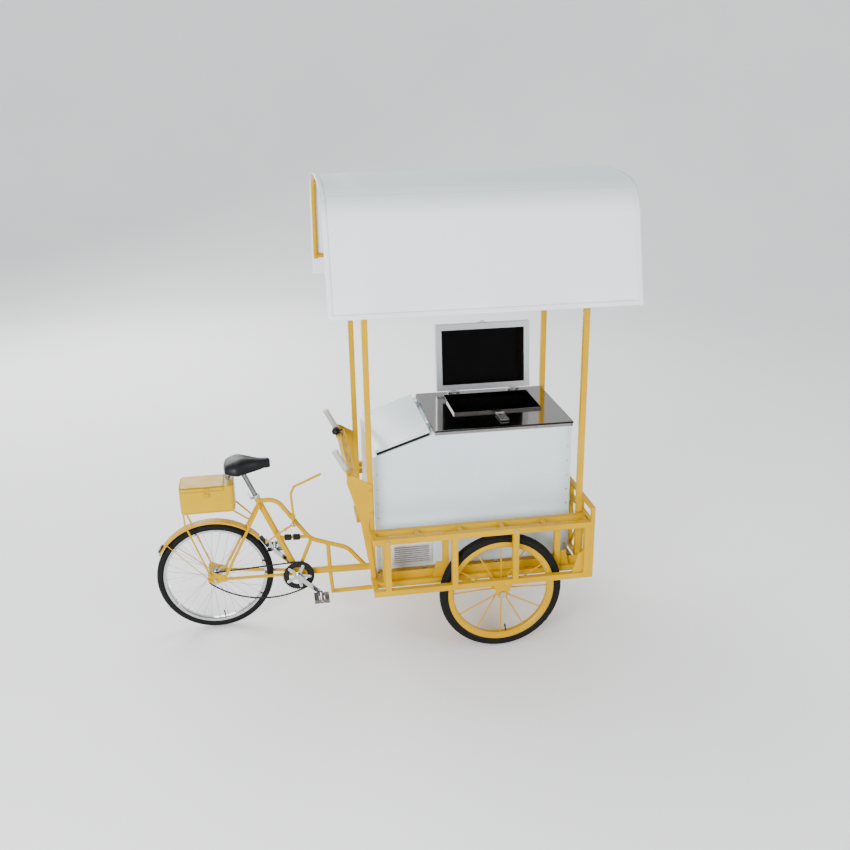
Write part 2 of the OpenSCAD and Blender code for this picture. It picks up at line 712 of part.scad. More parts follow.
module power_inlet() color(black) translate(inlet_place) difference() {
    union() {
        block([-6, -30, -25], [0, 30, 25]);
        block([-3, -18, -16], [12, 18, 16]);
    }
    block([-7, -14, -12], [6, 14, 12]);
    for (y = [-22, 22]) translate([-7, y, 0]) rotate([0, 90, 0]) cylinder(h = 8, d = 4);
}

// --- Lids -----------------------------------------------------------------

module hinge_fixed_leaves() color(steel) {
    main_hinge_leaves();
    rear_hinge_posts();
    hasp_base();
}

module main_hinge_leaves() for_hinges(lid_axis, hinge_spread) {
    fixed_knuckles(hinge_l);
    for (side = [-1, 1]) block([side * hinge_l / 3 - hinge_l / 6 + gap, 0, -lip_h - 2],
        [side * hinge_l / 3 + hinge_l / 6 - gap, 5, 0]);
    block([-hinge_l / 2, 0, -lip_h - 2], [hinge_l / 2, 36, -lip_h + 1]);
}

// The rear lid's knuckles that stay: their posts stand on the head of the slope
module rear_hinge_posts() rear_lid_place() for (side = [-1, 1]) translate([0, side * rear_hinge_y, 0]) {
    rotate([0, 0, 90]) fixed_knuckles(hinge_l);
    for (end = [-1, 1]) block([0, end * hinge_l / 3 - hinge_l / 6 + gap, -gasket_h - rear_lid_drop - gap],
        [5, end * hinge_l / 3 + hinge_l / 6 - gap, 0]);
}

// The hasp's knuckles that stay, on the worktop in front of the shut lid
module hasp_place() translate([well_x, hasp_y, worktop_z + 3 + hinge_r]) children();

module hasp_base() hasp_place() {
    fixed_knuckles(hasp_l);
    for (end = [-1, 1]) block([end * hasp_l / 3 - hasp_l / 6 + gap, 0, -3 - hinge_r],
        [end * hasp_l / 3 + hasp_l / 6 - gap, hinge_r - 2, 0]);
}

// The main lid is drawn shut and then turned open
module lid_place() translate(lid_axis) rotate([-lid_open, 0, 0]) children();

lid_low = gap - 2;

module main_lid_frame() color([0.8, 0.82, 0.84]) lid_place() difference() {
    block([-lid_l / 2, -8 - lid_w, lid_low], [lid_l / 2, -8, lid_t]);
    block([-lid_l / 2 + lid_frame_w, -8 - lid_w + lid_frame_w, lid_low - 1],
        [lid_l / 2 - lid_frame_w, -8 - lid_frame_w, lid_t - sheet_t]);
}

module main_lid_panel() color(black) lid_place()
    block([-lid_l / 2 + lid_frame_w, -8 - lid_w + lid_frame_w, lid_low + 8],
        [lid_l / 2 - lid_frame_w, -8 - lid_frame_w, lid_t - sheet_t]);

module main_lid_fittings() color(steel) lid_place() {
    for (side = [-1, 1]) translate([side * hinge_spread, 0, 0]) difference() {
        union() {
            moving_knuckle(hinge_l);
            block([-hinge_l / 6 + gap, -8, -2], [hinge_l / 6 - gap, 0, 3]);
            block([-hinge_l / 6 + gap, -8, 0], [hinge_l / 6 - gap, -5, lid_t + 2]);
            block([-hinge_l / 6 + gap, -34, lid_t], [hinge_l / 6 - gap, -5, lid_t + 2]);
        }
        moving_bore(hinge_l);
    }
    block([-26, -8 - lid_w - 3, 6], [26, -8 - lid_w, lid_t - 4]);
    translate([0, -8 - lid_w - 2, hasp_slot - 5]) rotate([0, 0, 180]) rotate_extrude(angle = 180)
        translate([10, 0]) circle(d = 5);
    translate([0, -8 - lid_w / 2 - lid_w * 0.36, lid_t]) {
        for (side = [-1, 1]) translate([side * 40, 0, 0]) cylinder(h = 24, d = 10);
        translate([-45, 0, 24]) rotate([0, 90, 0]) cylinder(h = 90, d = 10);
    }
}

// The hasp lies back on the worktop and swings up over the staple of the shut lid
module lid_hasp() color(steel) hasp_place() difference() {
    union() {
        moving_knuckle(hasp_l);
        block([-hasp_l / 6 + gap, -8, -2], [hasp_l / 6 - gap, 0, 1]);
        block([-24, -hasp_reach, -2], [24, -8, 1]);
    }
    moving_bore(hasp_l);
    block([-14, -hasp_slot - 9, -3], [14, -hasp_slot + 9, 2]);
}

module rear_lid_place() translate(rear_lid_axis) rotate([0, -slope_a, 0]) children();

module rear_lid() color(white) rear_lid_place() difference() {
    union() {
        block([-rear_lid_l - 12, -rear_lid_w / 2, -rear_lid_drop],
            [-12, rear_lid_w / 2, rear_lid_t - rear_lid_drop]);
        block([-rear_lid_l - 20, -60, -6], [-rear_lid_l - 11, 60, 3]);
        for (side = [-1, 1]) translate([0, side * rear_hinge_y, 0]) {
            rotate([0, 0, 90]) moving_knuckle(hinge_l);
            block([-13, -hinge_l / 6 + gap, -3], [0, hinge_l / 6 - gap, 3]);
        }
    }
    for (side = [-1, 1]) translate([0, side * rear_hinge_y, 0]) rotate([0, 0, 90]) moving_bore(hinge_l);
}

// --- Handle -----------------------------------------------------------------

stem_top = [handle_x, 0, handle_z] + grip_l * dir(grip_a);

module handlebar() color(yellow) {
    cross_shaft([handle_x, 0, handle_z], post_y + post / 2, handle_d);
    cross_shaft([handle_x + 34, 0, handle_z - 4], post_y + post / 2, 10);
    on_both_sides() {
        bar([handle_x, grip_y, handle_z], [stem_top[0], grip_y, stem_top[2]], stem_d);
        for (y = [120, 250]) block([handle_x + 8, y, handle_z - 6], [handle_x + 34, y + 6, handle_z - 1]);
    }
}

module handle_grips() color([0.85, 0.85, 0.83]) on_both_sides()
    translate([stem_top[0], grip_y, stem_top[2]]) rotate([0, 90 - grip_a, 0]) difference() {
        union() {
            translate([0, 0, -112]) cylinder(h = 118, d = grip_d);
            for (z = [-112, 2]) translate([0, 0, z]) cylinder(h = 5, d = grip_d + 6);
        }
        translate([0, 0, -120]) cylinder(h = 120, d = stem_d);
    }

module handle_brackets() color(yellow) on_both_sides() {
    y = post_y + post / 2 + bracket_t / 2;
    side_plate(y, bracket_t) polygon([
        [platform_rear + 4, frame_z + rail], [platform_rear + post - 2, frame_z + rail],
        [platform_rear - 4, handle_z - 240], [platform_rear + post - 4, handle_z - 230],
        [platform_rear + post - 4, handle_z - 40], [handle_x + 14, handle_z + 21],
        [handle_x - 21, handle_z + 21], [handle_x - 21, handle_z - 21],
        [platform_rear - 48, handle_z - 230]]);
    for (z = [handle_z - 200, handle_z - 70]) translate([post_rear_x, y + bracket_t / 2, z])
        rotate([-90, 0, 0]) cylinder(h = 6, d = 16, $fn = 6);
}

bell_y = 285;
bell_up = 30;
bell_pin_d = 5;
bell_place = [handle_x, bell_y, handle_z];

module bell() color([0.3, 0.3, 0.32]) translate(bell_place) rotate([0, -35, 0]) {
    difference() {
        union() {
            cross_shaft([0, 0, 0], 8, handle_d + 8);
            translate([0, 0, handle_d / 2]) cylinder(h = bell_up - handle_d / 2, d = 14);
            translate([0, 0, bell_up - 6]) cylinder(h = 6, d = bell_d - 4);
        }
        cross_shaft([0, 0, 0], 9, handle_d);
    }
    translate([0, 0, bell_up + 1]) difference() {
        scale_dome(bell_d / 2);
        scale_dome(bell_d / 2 - 2);
    }
    translate([0, 0, bell_up - 1]) cylinder(h = bell_d / 2 - 1, d = 6);
    translate([0, -bell_d / 2 - 6, bell_up - 6]) {
        translate([-7, 0, 0]) cube([14, 12, 4]);
        translate([0, 0, 0]) cylinder(h = 14, d = bell_pin_d);
    }
}

module scale_dome(r) intersection() {
    sphere(r = r);
    translate([0, 0, r / 2]) cube([3 * r, 3 * r, r], center = true);
}

module bell_lever() color(black) translate(bell_place) rotate([0, -35, 0])
    translate([0, -bell_d / 2 - 6, bell_up - 2 + gap]) difference() {
        union() {
            cylinder(h = 7, d = 11);
            block([0, -5, 1], [34, 2, 5]);
            translate([34, -2, 0]) cylinder(h = 8, d = 16);
        }
        translate([0, 0, -1]) cylinder(h = 10, d = bell_pin_d + 2 * fit);
    }

// --- Rear bicycle -----------------------------------------------------------

bb_half = 34;
bb_shell_d = 42;
spindle_d = 17;
stay_low = rear_axle + [56, dropout_y + 4.5, 14];
stay_high = seat_top - 14 * seat_dir + [0, stay_top_y, 0];
chainstay_rear = rear_axle + [56, dropout_y, 0];
chainstay_front = bb + [-12, 24, 0];
function along_stay(t) = stay_low + t * (stay_high - stay_low);
bridge_t = 0.66;
leg_eye = [-26, 38];
wire_eye = [-28, 2];
collar_from = 24;
collar_h = 18;
lever_boss = lever_d / 2 + 1.5;
lug_t = brake_y + lever_boss + gap;
guide = rod_base + 0.42 * (rod_top - rod_base);
strut_z = bb_z + 230;
strut_from = bb + ((strut_z - bb_z) / cos(seat_lean)) * seat_dir;
strut_d = 20;
strut_to = [bend_from(1)[0] + 2, 0, strut_z - 8];
drop_x = bb_x + 192;

module seat_axis(from, length, d) {
    bar(bb + from * seat_dir, bb + (from + length) * seat_dir, d);
}

module stays() on_both_sides() {
    bar(stay_low, stay_high, stay_d);
    bar(chainstay_rear, chainstay_front, chainstay_d);
}

module curved_tube() {
    bar(top_tube_start, bend_from(0), top_tube_d);
    for (i = [0 : 2]) {
        upright_arc(bend_centre(i), top_tube_runs[i][2],
            heading(i) + (bend_side(i) > 0 ? -90 : 90), top_tube_runs[i][1], top_tube_d);
        bar(run_start(i + 1), i < 2 ? bend_from(i + 1) : last_run + last_run_l * dir(heading(3)),
            top_tube_d);
        bead(bend_from(i), top_tube_d, heading(i));
        bead(run_start(i + 1), top_tube_d, heading(i + 1));
    }
}

module dropout() side_plate(dropout_y, dropout_t) translate([rear_axle_x, rear_r]) difference() {
    polygon([[-40, 44], [-18, 54], [16, 36], [64, 26], [64, -12], [12, -20], [-14, -20], [-42, -8]]);
    circle(d = axle_d + 2 * fit);
}

module rear_frame() color(yellow) difference() {
    union() {
        seat_axis(0, seat_tube_l + 40, seat_tube_d);
        cross_shaft(bb, bb_half, bb_shell_d);
        stays();
        on_both_sides() {
            dropout();
            cross_shaft([rear_axle_x + leg_eye[0], (dropout_y + leg_y - 5.5) / 2, rear_r + leg_eye[1]],
                (leg_y - 5.5 - dropout_y) / 2, 15);
        }
        cross_shaft([stay_high[0], 0, stay_high[2]], stay_top_y + 3, stay_d - 2);
        cross_shaft([along_stay(bridge_t)[0], 0, along_stay(bridge_t)[2]], along_stay(bridge_t)[1], 12);
        curved_tube();
        bar(bb, [kingpin_x, 0, boom_z], boom_d);
        bar([drop_x - 4, 0, lower_z], [kingpin_x, 0, lower_z], lower_d);
        bar([drop_x - 9, 0, bend_from(2)[2] + 20], [drop_x - 5, 0, boom_z + 3], 24);
        bar([drop_x - 4, 0, boom_z - 3], [drop_x + 6, 0, lower_z], 22);
        bar(bb, [run_start(2)[0] - 30, 0, run_start(2)[2] + 14], 22);
        bar(strut_from, strut_to, strut_d);
        translate([kingpin_x, 0, head_low]) cylinder(h = head_top - head_low, d = head_d);
        side_plate(0, 8) polygon([[kingpin_x - 20, boom_z - 10], [kingpin_x - 150, boom_z - 10],
            [kingpin_x - 20, lower_z + 60]]);
        cross_shaft([lever_pivot[0], lug_t / 2, lever_pivot[2]], -lug_t / 2, 18);
        cross_shaft([lever_pivot[0], (brake_y - lever_boss - 4) / 2, lever_pivot[2]],
            (lever_boss + 4 - brake_y) / 2, lever_pin_d);
        block([guide[0] - 12, brake_y - 12, guide[2] - 12], [guide[0] + 12, -8, guide[2] + 12]);
    }
    seat_axis(190, seat_tube_l, seat_post_d + 2 * fit);
    cross_shaft(bb, bb_half + 1, spindle_d + 2 * fit);
    translate([kingpin_x, 0, head_low - 1]) cylinder(h = head_top - head_low + 2, d = head_bore_d);
    translate([0, brake_y, 0]) bar(guide - 60 * rod_dir, guide + 60 * rod_dir, rod_d + 2 * fit);
}

module strut_sleeves() color(black) {
    v = (strut_to - strut_from) / norm(strut_to - strut_from);
    for (from = [30, 80]) difference() {
        bar(strut_from + from * v, strut_from + (from + 40) * v, 36);
        bar(strut_from + (from - 1) * v, strut_from + (from + 41) * v, strut_d);
    }
}

module rear_axle_bolt() color(steel) {
    half = leg_y + 6;
    cross_shaft(rear_axle, half, axle_d);
    for (side = [-1, 1]) {
        translate(rear_axle + [0, side * (dropout_y + dropout_t / 2 + 4.5), 0]) rotate([90, 0, 0])
            cylinder(h = 9, d = 20, center = true, $fn = 6);
        cross_shaft(rear_axle + [0, side * (rear_hub_half + 0.5 + dropout_y - dropout_t / 2) / 2, 0],
            (dropout_y - dropout_t / 2 - rear_hub_half - 0.5) / 2, 16);
    }
}

module seat_clamp() color(steel) difference() {
    union() {
        seat_axis(seat_tube_l + collar_from, collar_h, seat_tube_d + 8);
        translate(seat_top + (collar_from + collar_h / 2) * seat_dir) rotate([0, -seat_lean, 0]) {
            block([-seat_tube_d / 2 - 18, -9, -6], [-seat_tube_d / 2 + 1, 9, 6]);
            cross_shaft([-seat_tube_d / 2 - 10, 0, 0], 20, 8);
            translate([-seat_tube_d / 2 - 10, -20, 0]) block([-3, -5, -4], [3, 0, 46]);
        }
    }
    seat_axis(seat_tube_l + collar_from - 1, collar_h + 2, seat_tube_d);
}

module seat_post() color(chrome) {
    seat_axis(seat_tube_l - 140, 140 + 208, seat_post_d);
    translate(saddle_clamp) {
        cross_shaft([0, 0, 0], 26, 26);
        for (side = [-1, 1]) cross_shaft([0, side * 31, 0], 5, 18);
    }
}

saddle_rear = saddle_clamp[0] - 92;
saddle_l = 256;
saddle_w = 212;
saddle_nose_w = 46;
saddle_thick = 46;

// Half width of the saddle at a fraction of its length from the rear
function saddle_half(t) = t < 0.3
    ? (saddle_w / 2) * (0.78 + 0.22 * sin(300 * t))
    : saddle_nose_w / 2 + (saddle_w / 2 - saddle_nose_w / 2) * pow(max(0, 1 - (t - 0.3) / 0.7), 2.1)
        * (0.78 + 0.22 * sin(90)) - (t > 0.94 ? (t - 0.94) * 160 : 0);
function saddle_top(t) = 16 + saddle_thick * (t < 0.35 ? 0.45 + 0.55 * sin(90 * t / 0.35)
    : 0.42 + 0.58 * (0.5 + 0.5 * cos(180 * min(1, (t - 0.35) / 0.45))));
saddle_n = 20;

module saddle() color(black) translate([saddle_rear, 0, saddle_base_z]) intersection() {
    linear_extrude(100) polygon(concat(
        [for (i = [0 : saddle_n]) [saddle_l * i / saddle_n, -saddle_half(i / saddle_n)]],
        [for (i = [saddle_n : -1 : 0]) [saddle_l * i / saddle_n, saddle_half(i / saddle_n)]]));
    side_plate(0, saddle_w + 10) polygon(concat([[-1, 4], [saddle_l * 0.5, 12], [saddle_l + 1, 10]],
        [for (i = [saddle_n : -1 : 0]) [-1 + (saddle_l + 2) * i / saddle_n, saddle_top(i / saddle_n)]]));
}

module saddle_frame() color(steel) translate([saddle_clamp[0], 0, saddle_clamp[2]]) difference() {
    union() {
        for (side = [-1, 1]) {
            bar([-66, side * 31, 0], [54, side * 31, 0], 8);
            bar([53, side * 31, 0], [142, side * 12, 21], 8);
            bar([-66, side * 31, 0], [-72, side * 62, -2], 8);
            translate([-72, side * 62, -30]) cylinder(h = 46, d = 32);
        }
        block([-92, -76, 14], [-54, 76, 18]);
    }
    for (side = [-1, 1]) translate([-72, side * 62, -31]) cylinder(h = 44, d = 22);
    for (side = [-1, 1]) cross_shaft([0, side * 31, 0], 6, 18.1);
}

// --- Toolbox ------------------------------------------------------------------

rack_rear = toolbox_x - toolbox_l / 2 + 12;
rack_front = toolbox_x + toolbox_l / 2 - 14;

module toolbox_rack() color(yellow) difference() {
    union() {
        on_both_sides() {
            corners = [[rack_front, leg_y, rack_z], [rack_rear, leg_y, rack_z],
                [rack_rear + 2, leg_y, rack_z - 68],
                [rear_axle_x + leg_eye[0], leg_y, rear_r + leg_eye[1]]];
            for (i = [0 : 2]) {
                bar(corners[i], corners[i + 1], rack_rod);
                bead(corners[i], rack_rod, i * 45);
            }
            cross_shaft(corners[3], 5.5, 18);
            bar(corners[0], along_stay(0.78) + [4, 0, 0], rack_rod);
        }
        for (i = [0 : 3]) {
            x = rack_rear + 18 + i * (toolbox_l - 70) / 3;
            block([x - 8, -leg_y, rack_z - 2], [x + 8, leg_y, toolbox_floor]);
        }
    }
    on_both_sides() bar(stay_low, stay_high, stay_d + 0.1);
}

module toolbox_plan(h, inset) linear_extrude(h) polygon([for (p = rounded(toolbox_l - 2 * inset,
    toolbox_w - 2 * inset, toolbox_r - inset)) [toolbox_x + p[0], p[1]]]);

toolbox_split = toolbox_x - toolbox_l / 2 + toolbox_lid_l;

// The part of the toolbox's plan ahead of or behind the lid's front edge
module toolbox_ahead() {
    intersection() {
        children();
        block([toolbox_split, -300, 0], [toolbox_split + 400, 300, 2000]);
    }
}

module toolbox_behind() {
    intersection() {
        children();
        block([toolbox_split - 600, -300, 0], [toolbox_split - 0.6, 300, 2000]);
    }
}

module toolbox_body() color(yellow) {
    difference() {
        union() {
            translate([0, 0, toolbox_floor]) toolbox_plan(toolbox_h - toolbox_lid_t, 0);
            toolbox_ahead() translate([0, 0, toolbox_floor]) toolbox_plan(toolbox_h - 1, 0);
        }
        translate([0, 0, toolbox_floor + toolbox_wall])
            toolbox_plan(toolbox_h - toolbox_wall - 5, toolbox_wall);
    }
    translate(toolbox_hinge) for (side = [-1, 1]) translate([side * 60, 0, 0]) {
        fixed_knuckles(30);
        for (end = [-1, 1]) block([end * 10 - 5 + gap, -6.5, -6], [end * 10 + 5 - gap, 0, 0]);
    }
    translate([toolbox_x, -toolbox_w / 2, toolbox_top - toolbox_lid_t - 22])
        block([-14, -4, -10], [14, 1, 8]);
}

module toolbox_lid() color(yellow) {
    difference() {
        union() {
            toolbox_behind() {
                union() {
                    translate([0, 0, toolbox_top - toolbox_lid_t + gap])
                        toolbox_plan(toolbox_lid_t - gap - 5, 0);
                    translate([0, 0, toolbox_top - 6]) toolbox_plan(6, 5);
                }
            }
            translate(toolbox_hinge) for (side = [-1, 1]) translate([side * 60, 0, 0]) {
                moving_knuckle(30);
                block([-5 + gap, -7, gap], [5 - gap, 0, 6]);
            }
        }
        translate([0, 0, toolbox_top - toolbox_lid_t - 1])
            toolbox_plan(toolbox_lid_t - 3, toolbox_wall + 3);
        translate(toolbox_hinge) for (side = [-1, 1]) translate([side * 60, 0, 0]) moving_bore(30);
    }
    translate([toolbox_x, -toolbox_w / 2, toolbox_top - toolbox_lid_t + 6])
        block([-14, -5, -3], [14, 1, 9]);
}

// --- Rear wheel, fender and chain --------------------------------------------

module tyre(r, w, bed) rotate_extrude($fn = 96) difference() {
    translate([r - w / 2, 0]) circle(d = w);
    translate([0, -w]) square([bed, 2 * w]);
}

module wheel_at(centre) translate(centre) rotate([90, 0, 0]) children();

module valve(bed) translate([bed - 32, 0, 0]) rotate([0, 90, 0]) cylinder(h = 34, d = 7);

module rear_tyre() color(black) wheel_at(rear_axle) tyre(rear_r, rear_tyre_w, rear_rim_bed);

module rear_rim() color(chrome) wheel_at(rear_axle) {
    rotate_extrude($fn = 96) difference() {
        polygon([[rear_rim_in, -9], [rear_rim_in + 4, -15], [rear_rim_bed, -17],
            [rear_rim_bed, 17], [rear_rim_in + 4, 15], [rear_rim_in, 9]]);
        translate([rear_rim_in + 5, -12]) square([rear_rim_bed - rear_rim_in - 8, 24]);
    }
}

flange_r = 30;
flange_y = 27;
flange_t = 4;
spoke_d = 2.4;

module rear_spokes() color(steel) wheel_at(rear_axle) for (i = [0 : rear_spokes_n - 1]) {
    a = i * 360 / rear_spokes_n;
    side = i % 2 == 0 ? 1 : -1;
    lean = floor(i / 2) % 2 == 0 ? 1 : -1;
    z0 = side * (flange_y + (lean > 0 ? 1.15 : -0.05) + lean * (flange_t + spoke_d) / 2);
    a0 = a + lean * 64;
    r0 = flange_r - 4;
    r1 = rear_rim_in - 0.1;
    bar([r0 * cos(a0), r0 * sin(a0), z0], [r1 * cos(a), r1 * sin(a), side * 4], spoke_d);
}

module teeth_disc(teeth, r) {
    circle(r = r - 4);
    for (i = [0 : teeth - 1]) rotate([0, 0, i * 360 / teeth])
        polygon([[r - 6, -3.6], [r + 1.5, -1.2], [r + 1.5, 1.2], [r - 6, 3.6]]);
}

module rear_hub() color(chrome) {
    difference() {
        union() {
            cross_shaft(rear_axle, rear_hub_half - 8, 30);
            for (side = [-1, 1])
                cross_shaft(rear_axle + [0, side * flange_y, 0], flange_t / 2, 2 * flange_r);
            cross_shaft(rear_axle, rear_hub_half, 24);
            side_plate(chain_y, tooth_t) translate([rear_axle_x, rear_r])
                teeth_disc(sprocket_teeth, sprocket_r);
            cross_shaft(rear_axle + [0, chain_y + 5, 0], 5, 44);
        }
        cross_shaft(rear_axle, rear_hub_half + 1, axle_d + 2 * fit);
    }
}

module rear_fender() color(yellow) {
    translate(rear_axle) rotate([90, 0, 0]) rotate([0, 0, fender_from])
        rotate_extrude(angle = fender_to - fender_from, $fn = 96) {
            translate([fender_r, -fender_w / 2]) square([fender_t, fender_w]);
            for (side = [-1, 1]) translate([fender_r - 8, side * (fender_w / 2 - 1) - 1]) square([10, 2]);
        }
    difference() {
        b = along_stay(bridge_t) - rear_axle;
        a = atan2(b[2], b[0]);
        translate(rear_axle) rotate([0, -a, 0])
            block([fender_r + fender_t - 0.5, -12, -2], [norm([b[0], b[2]]), 12, 2]);
        cross_shaft([along_stay(bridge_t)[0], 0, along_stay(bridge_t)[2]], 40, 12.1);
    }
    on_both_sides() {
        w = rear_axle + [wire_eye[0], 0, wire_eye[1]];
        bar(rear_axle + [0, fender_w / 2 - 1, 0] + (fender_r + 0.5) * dir(138),
            w + [0, dropout_y + dropout_t / 2 + 5, 0], 5);
        cross_shaft(w + [0, dropout_y + dropout_t / 2 + 5, 0], 5, 14);
    }
}

module rear_reflector() color([0.45, 0.05, 0.05]) translate(rear_axle) rotate([0, -146, 0])
    translate([fender_r + fender_t, 0, 0]) rotate([0, 90, 0]) {
        cylinder(h = 8, d = 52);
        translate([0, 0, 8]) cylinder(h = 3, d = 46);
    }

// Closed path of the chain in the plane of its wheels, moved outwards by an offset
function chain_path(d) = concat(
    [for (i = [0 : 12]) let(a = sag_from + (sag_to - sag_from) * i / 12)
        sag_c + (chain_sag_r + d) * [cos(a), sin(a)]],
    [for (i = [1 : 40]) let(a = sag_to + (90 + top_run_turn - sag_to) * i / 40)
        [shaft_gap, 0] + (ring_r + d) * [cos(a), sin(a)]],
    [for (i = [0 : 27]) let(a = 90 + top_run_turn + (270 + sag_from - top_run_turn) * i / 28)
        (sprocket_r + d) * [cos(a), sin(a)]]);

module chain_band(out, into, t) translate([0, chain_y + t / 2, 0]) translate([rear_axle_x, 0, rear_r])
    rotate([90, 0, 0]) rotate([0, 0, shaft_tilt]) linear_extrude(t) difference() {
        polygon(chain_path(out));
        polygon(chain_path(into));
    }

module chain() color([0.35, 0.33, 0.3]) difference() {
    chain_band(chain_h / 2, -chain_h / 2, chain_w);
    chain_band(2.4, -chain_h, chain_slot);
}

// --- Cranks ---------------------------------------------------------------------

crank_a = -43;
crank_y = 68;
crank_t = 13;
pedal_mid = 130;
pedal_half = 46;
pedal_pin_d = 12;
bolt_ring_r = 66;
bolt_hole_d = 9;

function crank_end(side) = bb + side * crank_l * dir(crank_a);

module crank_arm() {
    circle(d = 34);
    polygon([[0, -15], [crank_l, -11], [crank_l, 11], [0, 15]]);
    translate([crank_l, 0]) circle(d = 24);
}

module crankset() color(chrome) {
    cross_shaft(bb, crank_y, spindle_d);
    for (side = [-1, 1]) {
        side_plate(-side * crank_y, crank_t) translate([bb_x, bb_z])
            rotate([0, 0, crank_a + (side < 0 ? 180 : 0)]) crank_arm();
        cross_shaft(crank_end(side) + [0, -side * (crank_y + pedal_mid + pedal_half - 6) / 2, 0],
            (pedal_mid + pedal_half - 6 - crank_y) / 2, pedal_pin_d);
        cross_shaft(bb + [0, side * (bb_half + 0.4 + crank_y - crank_t / 2) / 2, 0],
            (crank_y - crank_t / 2 - bb_half - 0.4) / 2, 30);
    }
    side_plate(chain_y - tooth_t / 2 - 2.5, 5) translate([bb_x, bb_z]) {
        circle(d = 50);
        for (i = [0 : 4]) rotate([0, 0, crank_a + 36 + i * 72]) difference() {
            union() {
                translate([0, -9]) square([bolt_ring_r, 18]);
                translate([bolt_ring_r, 0]) circle(d = 18);
            }
        }
    }
    for (i = [0 : 4]) translate([bb_x, chain_y - tooth_t / 2 - 5, bb_z])
        rotate([0, -(crank_a + 36 + i * 72), 0]) cross_shaft([bolt_ring_r, -1, 0], 2, 12);
}

module chainring() color(steel) side_plate(chain_y, tooth_t) translate([bb_x, bb_z]) difference() {
    teeth_disc(ring_teeth, ring_r);
    circle(r = bolt_ring_r - 12);
}

module pedal() difference() {
    union() {
        cross_shaft([0, 0, 0], pedal_half, 24);
        for (y = [-pedal_half + 4, pedal_half - 4]) block([-40, y - 4, -9], [40, y + 4, 9]);
        for (side = [-1, 1])
            block([side * 30 - 13, -pedal_half + 2, -13], [side * 30 + 13, pedal_half - 2, 13]);
    }
    cross_shaft([0, 0, 0], pedal_half + 1, pedal_pin_d + 2 * fit);
    for (side = [-1, 1]) for (i = [-3 : 3]) for (face = [-1, 1])
        translate([side * 30 - 14, i * 12 - 1.5, face * 13 - 2]) cube([28, 3, 4]);
}

module pedal_right() color(black) translate(crank_end(1) + [0, -pedal_mid, 0]) pedal();

module pedal_left() color(black) translate(crank_end(-1) + [0, pedal_mid, 0]) pedal();

// --- Spoon brake ---------------------------------------------------------------

lever_runs = [lever_pivot - [3, 0, lever_arm], lever_pivot, lever_pivot + [-5, 0, 140],
    lever_pivot + [14, 0, 181], lever_pivot + [170, 0, 248]];

module hand_lever() color(yellow) difference() {
    union() {
        for (i = [0 : 3]) translate([0, brake_y, 0]) {
            bar(lever_runs[i], lever_runs[i + 1], lever_d);
            if (i > 1) bead(lever_runs[i], lever_d, i == 2 ? 80 : 45);
        }
        cross_shaft([lever_pivot[0], brake_y, lever_pivot[2]], lever_boss, 24);
        cross_shaft([rod_top[0], brake_y - 12, rod_top[2]], 14, lever_pin_d);
    }
    cross_shaft([lever_pivot[0], brake_y, lever_pivot[2]], lever_d, lever_pin_d + 2 * fit);
}

module brake_rod() color(yellow) difference() {
    union() {
        translate([0, brake_y, 0]) bar(rod_base, rod_top + 16 * rod_dir, rod_d);
        cross_shaft([rod_top[0], brake_y - lever_d / 2 - 5 - gap, rod_top[2]], 5, eye_hole_d + 10);
        translate([0, brake_y - lever_d / 2 - 5 - gap, 0])
            bar(rod_top + 14 * rod_dir, rod_top + 60 * rod_dir, 8);
        translate([0, brake_y - 5, 0]) bar(rod_top + 52 * rod_dir, rod_top + 64 * rod_dir, 18);
        cross_shaft([rod_base[0], brake_y / 2, rod_base[2]], -brake_y / 2 + 6, rod_d + 2);
    }
    cross_shaft([rod_top[0], brake_y - lever_d / 2, rod_top[2]], 20, eye_hole_d);
}

module brake_pad() color(black) side_plate(0, 36) difference() {
    translate([rear_axle_x, rear_r]) rotate([0, 0, brake_a]) translate([rear_r, -34])
        square([brake_gap + pad_t + 9 - rod_d / 2, 68]);
    translate([rear_axle_x, rear_r]) circle(r = rear_r + brake_gap, $fn = 360);
}

// --- Front wheels -----------------------------------------------------------------

module front_tyre() wheel_at([front_axle_x, wheel_y, front_r]) {
    tyre(front_r, front_tyre_w, rim_bed);
}

module front_rim() difference() {
    wheel_at([front_axle_x, wheel_y, front_r]) {
        rotate_extrude($fn = 96) difference() {
            polygon([[rim_in, -12], [rim_in + 10, -20], [rim_bed, -20],
                [rim_bed, 20], [rim_in + 10, 20], [rim_in, 12]]);
            translate([rim_in + 8, -14]) square([rim_bed - rim_in - 12, 28]);
        }
        cylinder(h = 2 * hub_half, d = 58, center = true);
        for (i = [0 : front_spokes_n - 1]) rotate([0, 0, i * 360 / front_spokes_n])
            bar([22, 0, (i % 2 == 0 ? 1 : -1) * 20], [rim_in + 4, 0, 0], front_spoke_d);
    }
    cross_shaft([front_axle_x, wheel_y, front_r], hub_half + 1, front_axle_d + 2 * fit);
}

module front_tyre_left() color(black) front_tyre();

module front_tyre_right() color(black) mirror([0, 1, 0]) front_tyre();

module front_rim_left() color(yellow) front_rim();

module front_rim_right() color(yellow) mirror([0, 1, 0]) front_rim();

// --- Assembly -----------------------------------------------------------------------

